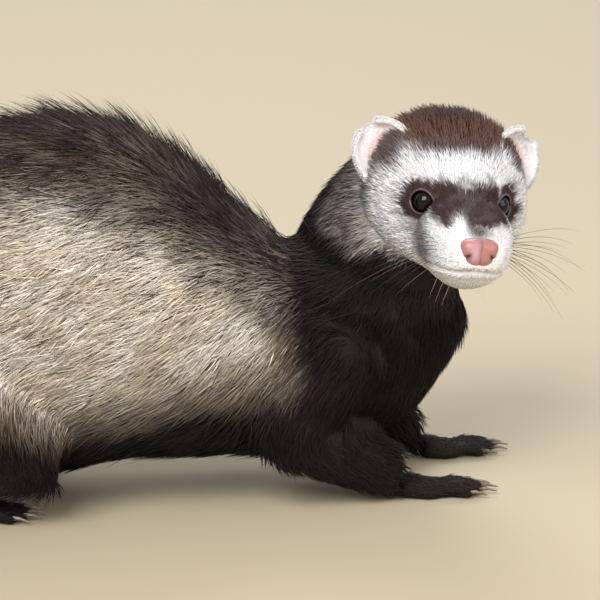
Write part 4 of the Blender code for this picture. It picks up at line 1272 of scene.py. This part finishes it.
def build_whiskers():
    """Whiskers on the muzzle, over the eyes and under the chin."""
    shapes = []
    shades = []
    for side in (1, -1):
        for row in range(4):
            for column in range(4):
                rise = -8.0 - 1.35 * row + 0.3 * column
                root = Vector((17.5 - column * 2.1 + 0.4 * row, side * (8.6 + 0.75 * column), rise))
                reach = 18 + 5.2 * column - 1.1 * row + DRAW.uniform(-3, 3)
                out = Vector((0.25 - 0.17 * column + DRAW.uniform(-0.1, 0.1), side * 0.92, 0.2 - 0.24 * row))
                shapes.append(whisker(root, out, reach, DRAW.uniform(-0.15, 0.15)))
                shades.append(DARK if (row + column) % 3 else BROWN)
        for column in range(3):
            root = Vector((1 - 2.2 * column, side * (6.5 + 1.8 * column), 6.5))
            out = Vector((0.35, side * (0.35 + 0.2 * column), 0.9))
            shapes.append(whisker(root, out, 11 + 3 * column, 0.5, 0.055))
            shades.append(BROWN)
        for column in range(3):
            root = Vector((12 - 3 * column, side * (3.5 + 1.2 * column), -19))
            shapes.append(whisker(root, Vector((0.3, side * 0.35, -0.8)), 8, -0.2, 0.05))
            shades.append(CREAM)
    colours = np.repeat(np.array(shades), len(shapes[0][0]), axis=0)
    made = painted_object("whiskers", *together(*shapes), colours)
    dress(made, painted_material("whisker_horn", 0.35, 0.5, 0.1, 0, 500))


def whisker(root, out, reach, bend, thick=0.1):
    """One whisker in the head's frame as a thin tapered tube."""
    out = out.normalized()
    points = []
    radii = []
    for index in range(WHISKER_STEPS + 1):
        share = index / WHISKER_STEPS
        rise = -0.26 * reach * share**2.4 + bend * reach * 0.3 * share**2
        sag = Vector((-0.22 * reach * share**2, 0, rise))
        points.append(HEAD_FRAME @ (root - out * 1.0 + out * reach * share + sag))
        radii.append(thick * (1 - 0.85 * index / WHISKER_STEPS))
    return ring_tube(points, radii, 5, closed=False)


def build_claws():
    """A horn finish for the solids' claws."""
    horn, shader = principled("claw_horn", Roughness=0.35, Specular_IOR_Level=0.5)
    tree = horn.node_tree
    place = shader_node(tree, "TexCoord")
    grain = shader_node(tree, "TexNoise", Scale=700)
    colours = shader_node(tree, "ValToRGB")
    for stop, colour in zip(colours.color_ramp.elements, (CLAW_DARK, CLAW_PALE)):
        stop.color = (*colour, 1)
    connect(
        tree,
        (place, "Object", grain, "Vector"),
        (grain, "Fac", colours, "Fac"),
        (colours, "Color", shader, "Base Color"),
    )
    for name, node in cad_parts.items():
        if "_claw_" in name:
            node.data.materials.clear()
            node.data.materials.append(horn)


def skin_colours(shell, run):
    """The colours of a skin's points, with the lips along the run of the mouth on the head's."""
    root, tip = marks(shell.points, run is not None)
    # The coat's colours darkened by a fifth: painted shade under the hairs.
    colour = mix(root, tip, np.full(len(root), 0.35)) * 0.8
    if run is None:
        return colour
    place = in_head_frame(shell.points)
    lips = 0.7 * (1 - ramp(distance_to_run(place, run), 0.3, 1.0))
    return mix(colour, LIP_PINK * 0.8, lips * ramp(place[:, 0], 8, 16))


def build_skin(body, paws, head, run):
    """One skin for every node of flesh, painted with the coat's markings and darkened as painted shade under
    the hairs.
    """
    shells = (body, paws, head)
    colours = [skin_colours(shell, run if shell is head else None) for shell in shells]
    points, faces = together(*[(shell.points, shell.triangles.tolist()) for shell in shells])
    made = painted_object("skin", points, faces, np.concatenate(colours))
    dress(made, painted_material("short_fur", 0.75, 0.25, 0.22, 0.8, 1300))
    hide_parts("head", "neck", "chest", "torso", "tail", "foreleg_left", "foreleg_right",
                "hindleg_left", "hindleg_right", "forepaw_left", "forepaw_right", "hindpaw_left",
                "hindpaw_right")
    for shell in shells:
        bpy.data.objects.remove(shell.thing)


def coat_values(shell, item):
    """One of the coat's sizes at each point of a shell."""
    return shell.field([COAT[LINES[name][0]][item] for name in shell.names])


def varied(colours, spread):
    """Colours with a random brightness for each row."""
    return colours * (1 + DRAW.normal(0, spread, len(colours)))[:, None].clip(0.5, 1.6)


def body_coat(body, fur):
    """The coat of the neck, trunk, legs and tail, in pieces by stretch."""
    length, lift, width = (coat_values(body, item) for item in (1, 2, 3))
    neck, trunk, tail = (body.line == index for index in range(3))
    ridge = ridge_share(body.points) * trunk
    x = body.points[:, 0]
    breast = ramp(x, 42, 62) * trunk
    tail_end = ramp(body.shares[2], 0.88, 1.0) * tail
    length = length * (1 + 0.15 * ridge) * (1 - 0.3 * breast) * (1 - 0.45 * tail_end)
    lift = lift * (1 + 0.35 * ridge) * (1 - 0.5 * breast) * (1 - 0.6 * tail_end)
    outside = ~in_head_box(body.points, -3.0)
    groups = {
        "torso": trunk & (x < FORE_FROM),
        "fore": trunk & (x >= FORE_FROM),
        "neck": neck,
        "tail": tail,
        "legs": body.line > 2,
    }
    for name, inside in groups.items():
        density = (inside & outside).astype(float)
        total = TUFTS[name] // THINNING
        pieces = math.ceil(total / PIECE_TUFTS)
        for piece in range(pieces):
            roots = body.sample(total // pieces, density)
            root, tip = body_marks(roots.points)
            shade = DRAW.normal(0, 0.12, len(root))[:, None] + noise(roots.points, 2.5, 41)[:, None] * 0.08
            cream = cream_share(roots.points)
            tip = mix(tip, BROWN, 0.7 * ((DRAW.random(len(root)) < 0.20) * cream))
            # Roots are darker than tips, from 0.86 on the dark fur to 0.98 on the cream: painted shade
            # between the hairs. shade is a random brightness for each tuft.
            colours = (root * (0.86 + 0.12 * cream[:, None] + shade), tip * (1 + shade))
            sizes = [roots.read(values) for values in (length, lift, width)]
            made = tufts(f"coat_{name}_{piece + 1}", roots, *sizes, colours, 0.5, 3.6, (0, 0.45))
            dress(made, fur)


def guard_coat(body, fur):
    """Long dark guard hairs, dense along the back and sparse on the flanks and tail."""
    trunk = (body.line == 1) | (body.line == 2)
    outside = ~in_head_box(body.points, 2.0)
    density = trunk * outside * (0.22 + 1.9 * ridge_share(body.points)) * ramp(-body.points[:, 0], -62, -30)
    total = GUARD_HAIRS // THINNING
    roots = body.sample(total, density)
    near = ridge_share(roots.points)
    colour = mix(DARK, BROWN, DRAW.random(total) * (0.45 - 0.35 * near))
    colours = (varied(colour * 0.9, 0.2), varied(colour * 0.55, 0.2))
    sizes = (15 + 3.5 * near, 15 + 17 * near, 0.17)
    made = tufts("coat_guard", roots, *sizes, colours, 0.8, 5.0, (0, 0.34, 0.7), 0.2)
    dress(made, fur)


def paw_coat(paws, fur):
    """Very short fur on the tops and sides of the paws."""
    density = ramp(paws.normals[:, 2], -0.75, -0.2) * ramp(paws.points[:, 2], 0.8, 2.0)
    roots = paws.sample(TUFTS["paws"] // THINNING, density + 1e-6)
    colour = varied(np.tile(PAW_BROWN, (len(roots.points), 1)), 0.2)
    # Darker roots and lighter tips: painted shade down between the hairs.
    made = tufts("coat_paws", roots, *COAT["paw"][1:], (colour * 0.8, colour * 1.1), 0.2, 1.5)
    dress(made, fur)


def face_length(place):
    """How long the fur of the head is: shortest on the muzzle, longest on the crown, cheeks and throat."""
    stops = (-40, -26, -14, -6, 0, 8, 16, 24)
    length = np.interp(place[:, 0], stops, (9.0, 8.0, 6.6, 5.0, 3.6, 2.6, 1.9, 1.2))
    near = norms(outward(place) - np.array(EYE_AT))
    return length * (0.42 + 0.58 * ramp(near, 5.4, 10.5))


def head_coat(head, run, fur):
    """The short coat of the head, in two pieces."""
    place = in_head_frame(head.points)
    keep = in_head_box(head.points, 1.5).astype(float)
    keep *= ~in_openings(place, 1.22)
    keep *= norms((place - np.array(NOSE_AT)) / np.array([1.3, 1.04, 1.04]) / np.array(NOSE_SIZE)) > 1
    keep *= 1 - (1 - ramp(distance_to_run(place, run), 0.5, 1.3)) * ramp(place[:, 0], 6, 12)
    density = keep * np.interp(place[:, 0], (-40, -10, 5, 20), (0.8, 1.2, 2.4, 4.0))
    total = TUFTS["head"] // THINNING
    for piece in (1, 2):
        roots = head.sample(total // 2, density)
        spot = in_head_frame(roots.points)
        length = face_length(spot)
        root, tip = marks(roots.points, True)
        shade = DRAW.normal(0, 0.10, len(root))[:, None]
        # Roots at 0.95 of the tips' brightness: painted shade between the hairs. shade is a random
        # brightness for each tuft.
        colours = (root * (0.95 + shade), tip * (1.0 + shade))
        crown = ramp(spot[:, 2], 8, 16) * ramp(-spot[:, 0], 4, 12)
        lift = 15 + 13 * crown + 5 * ramp(-spot[:, 0], 5, 20)
        sizes = (length, lift, 0.085 + 0.017 * length)
        made = tufts(f"coat_head_{piece}", roots, *sizes, colours, 0.35, 2.0, stray=0.12)
        dress(made, fur)


def build_stage():
    """A pale floor and soft studio light."""
    mesh = bpy.data.meshes.new("floor")
    corners = [(-FLOOR_REACH, -FLOOR_REACH, 0), (FLOOR_REACH, -FLOOR_REACH, 0)]
    corners += [(FLOOR_REACH, FLOOR_REACH, 0), (-FLOOR_REACH, FLOOR_REACH, 0)]
    mesh.from_pydata(corners, [], [(0, 1, 2, 3)])
    pale, _ = principled("floor_pale", Roughness=0.8, Specular_IOR_Level=0.2, Base_Color=(*FLOOR_PALE, 1))
    mesh.materials.append(pale)
    floor = linked("floor", mesh)
    world = bpy.data.worlds.new("studio")
    world.use_nodes = True
    set_inputs(world.node_tree.nodes["Background"], {"Color": (0.95, 0.96, 1.0, 1), "Strength": 0.62})
    bpy.context.scene.world = world
    soft_light("key", (-0.55, -1.0, 1.15), 0.9, 26, (1.0, 0.985, 0.96))
    soft_light("fill", (1.1, -0.7, 0.6), 0.9, 7, (1.0, 0.93, 0.85))
    soft_light("rim", (0.2, 1.1, 1.2), 0.8, 12, (0.95, 0.97, 1.0))


def soft_light(name, place, size, power, colour):
    """A square soft light aimed at the middle of the animal."""
    data = bpy.data.lights.new(name, "AREA")
    data.size = size
    data.energy = power
    data.color = colour
    light = linked(name, data)
    light.location = place
    light.rotation_mode = "QUATERNION"
    light.rotation_quaternion = (LIGHT_TARGET - Vector(place)).to_track_quat("-Z", "Y")


def build_camera():
    """The camera at the photograph's viewing angle."""
    east, north = math.cos(CAMERA_AZIMUTH), math.sin(CAMERA_AZIMUTH)
    level = math.cos(CAMERA_ELEVATION)
    back = Vector((north * level, -east * level, math.sin(CAMERA_ELEVATION)))
    right = Vector((east, north, 0))
    data = bpy.data.cameras.new("camera")
    data.sensor_width = 36
    data.lens = CAMERA_LENS
    data.clip_start = 0.01
    camera = linked("camera", data)
    turn = Matrix((right, back.cross(right), back)).transposed().to_4x4()
    camera.matrix_world = Matrix.Translation((CAMERA_AT + SHIFT) * MM) @ turn
    bpy.context.scene.camera = camera


def build():
    """The whole dressed ferret."""
    build_camera()
    build_stage()
    fur = painted_material("fur", 0.68, 0.16, 0.10, 0, 600, Sheen_Weight=0.03)
    body = body_shell()
    paws = paw_shell()
    head, run = head_shell()
    body_coat(body, fur)
    guard_coat(body, fur)
    paw_coat(paws, fur)
    head_coat(head, run, fur)
    build_skin(body, paws, head, run)
    build_ears(fur)
    build_eyes()
    build_nose()
    build_whiskers()
    build_claws()
    bpy.context.scene.view_settings.view_transform = "Standard"


build()
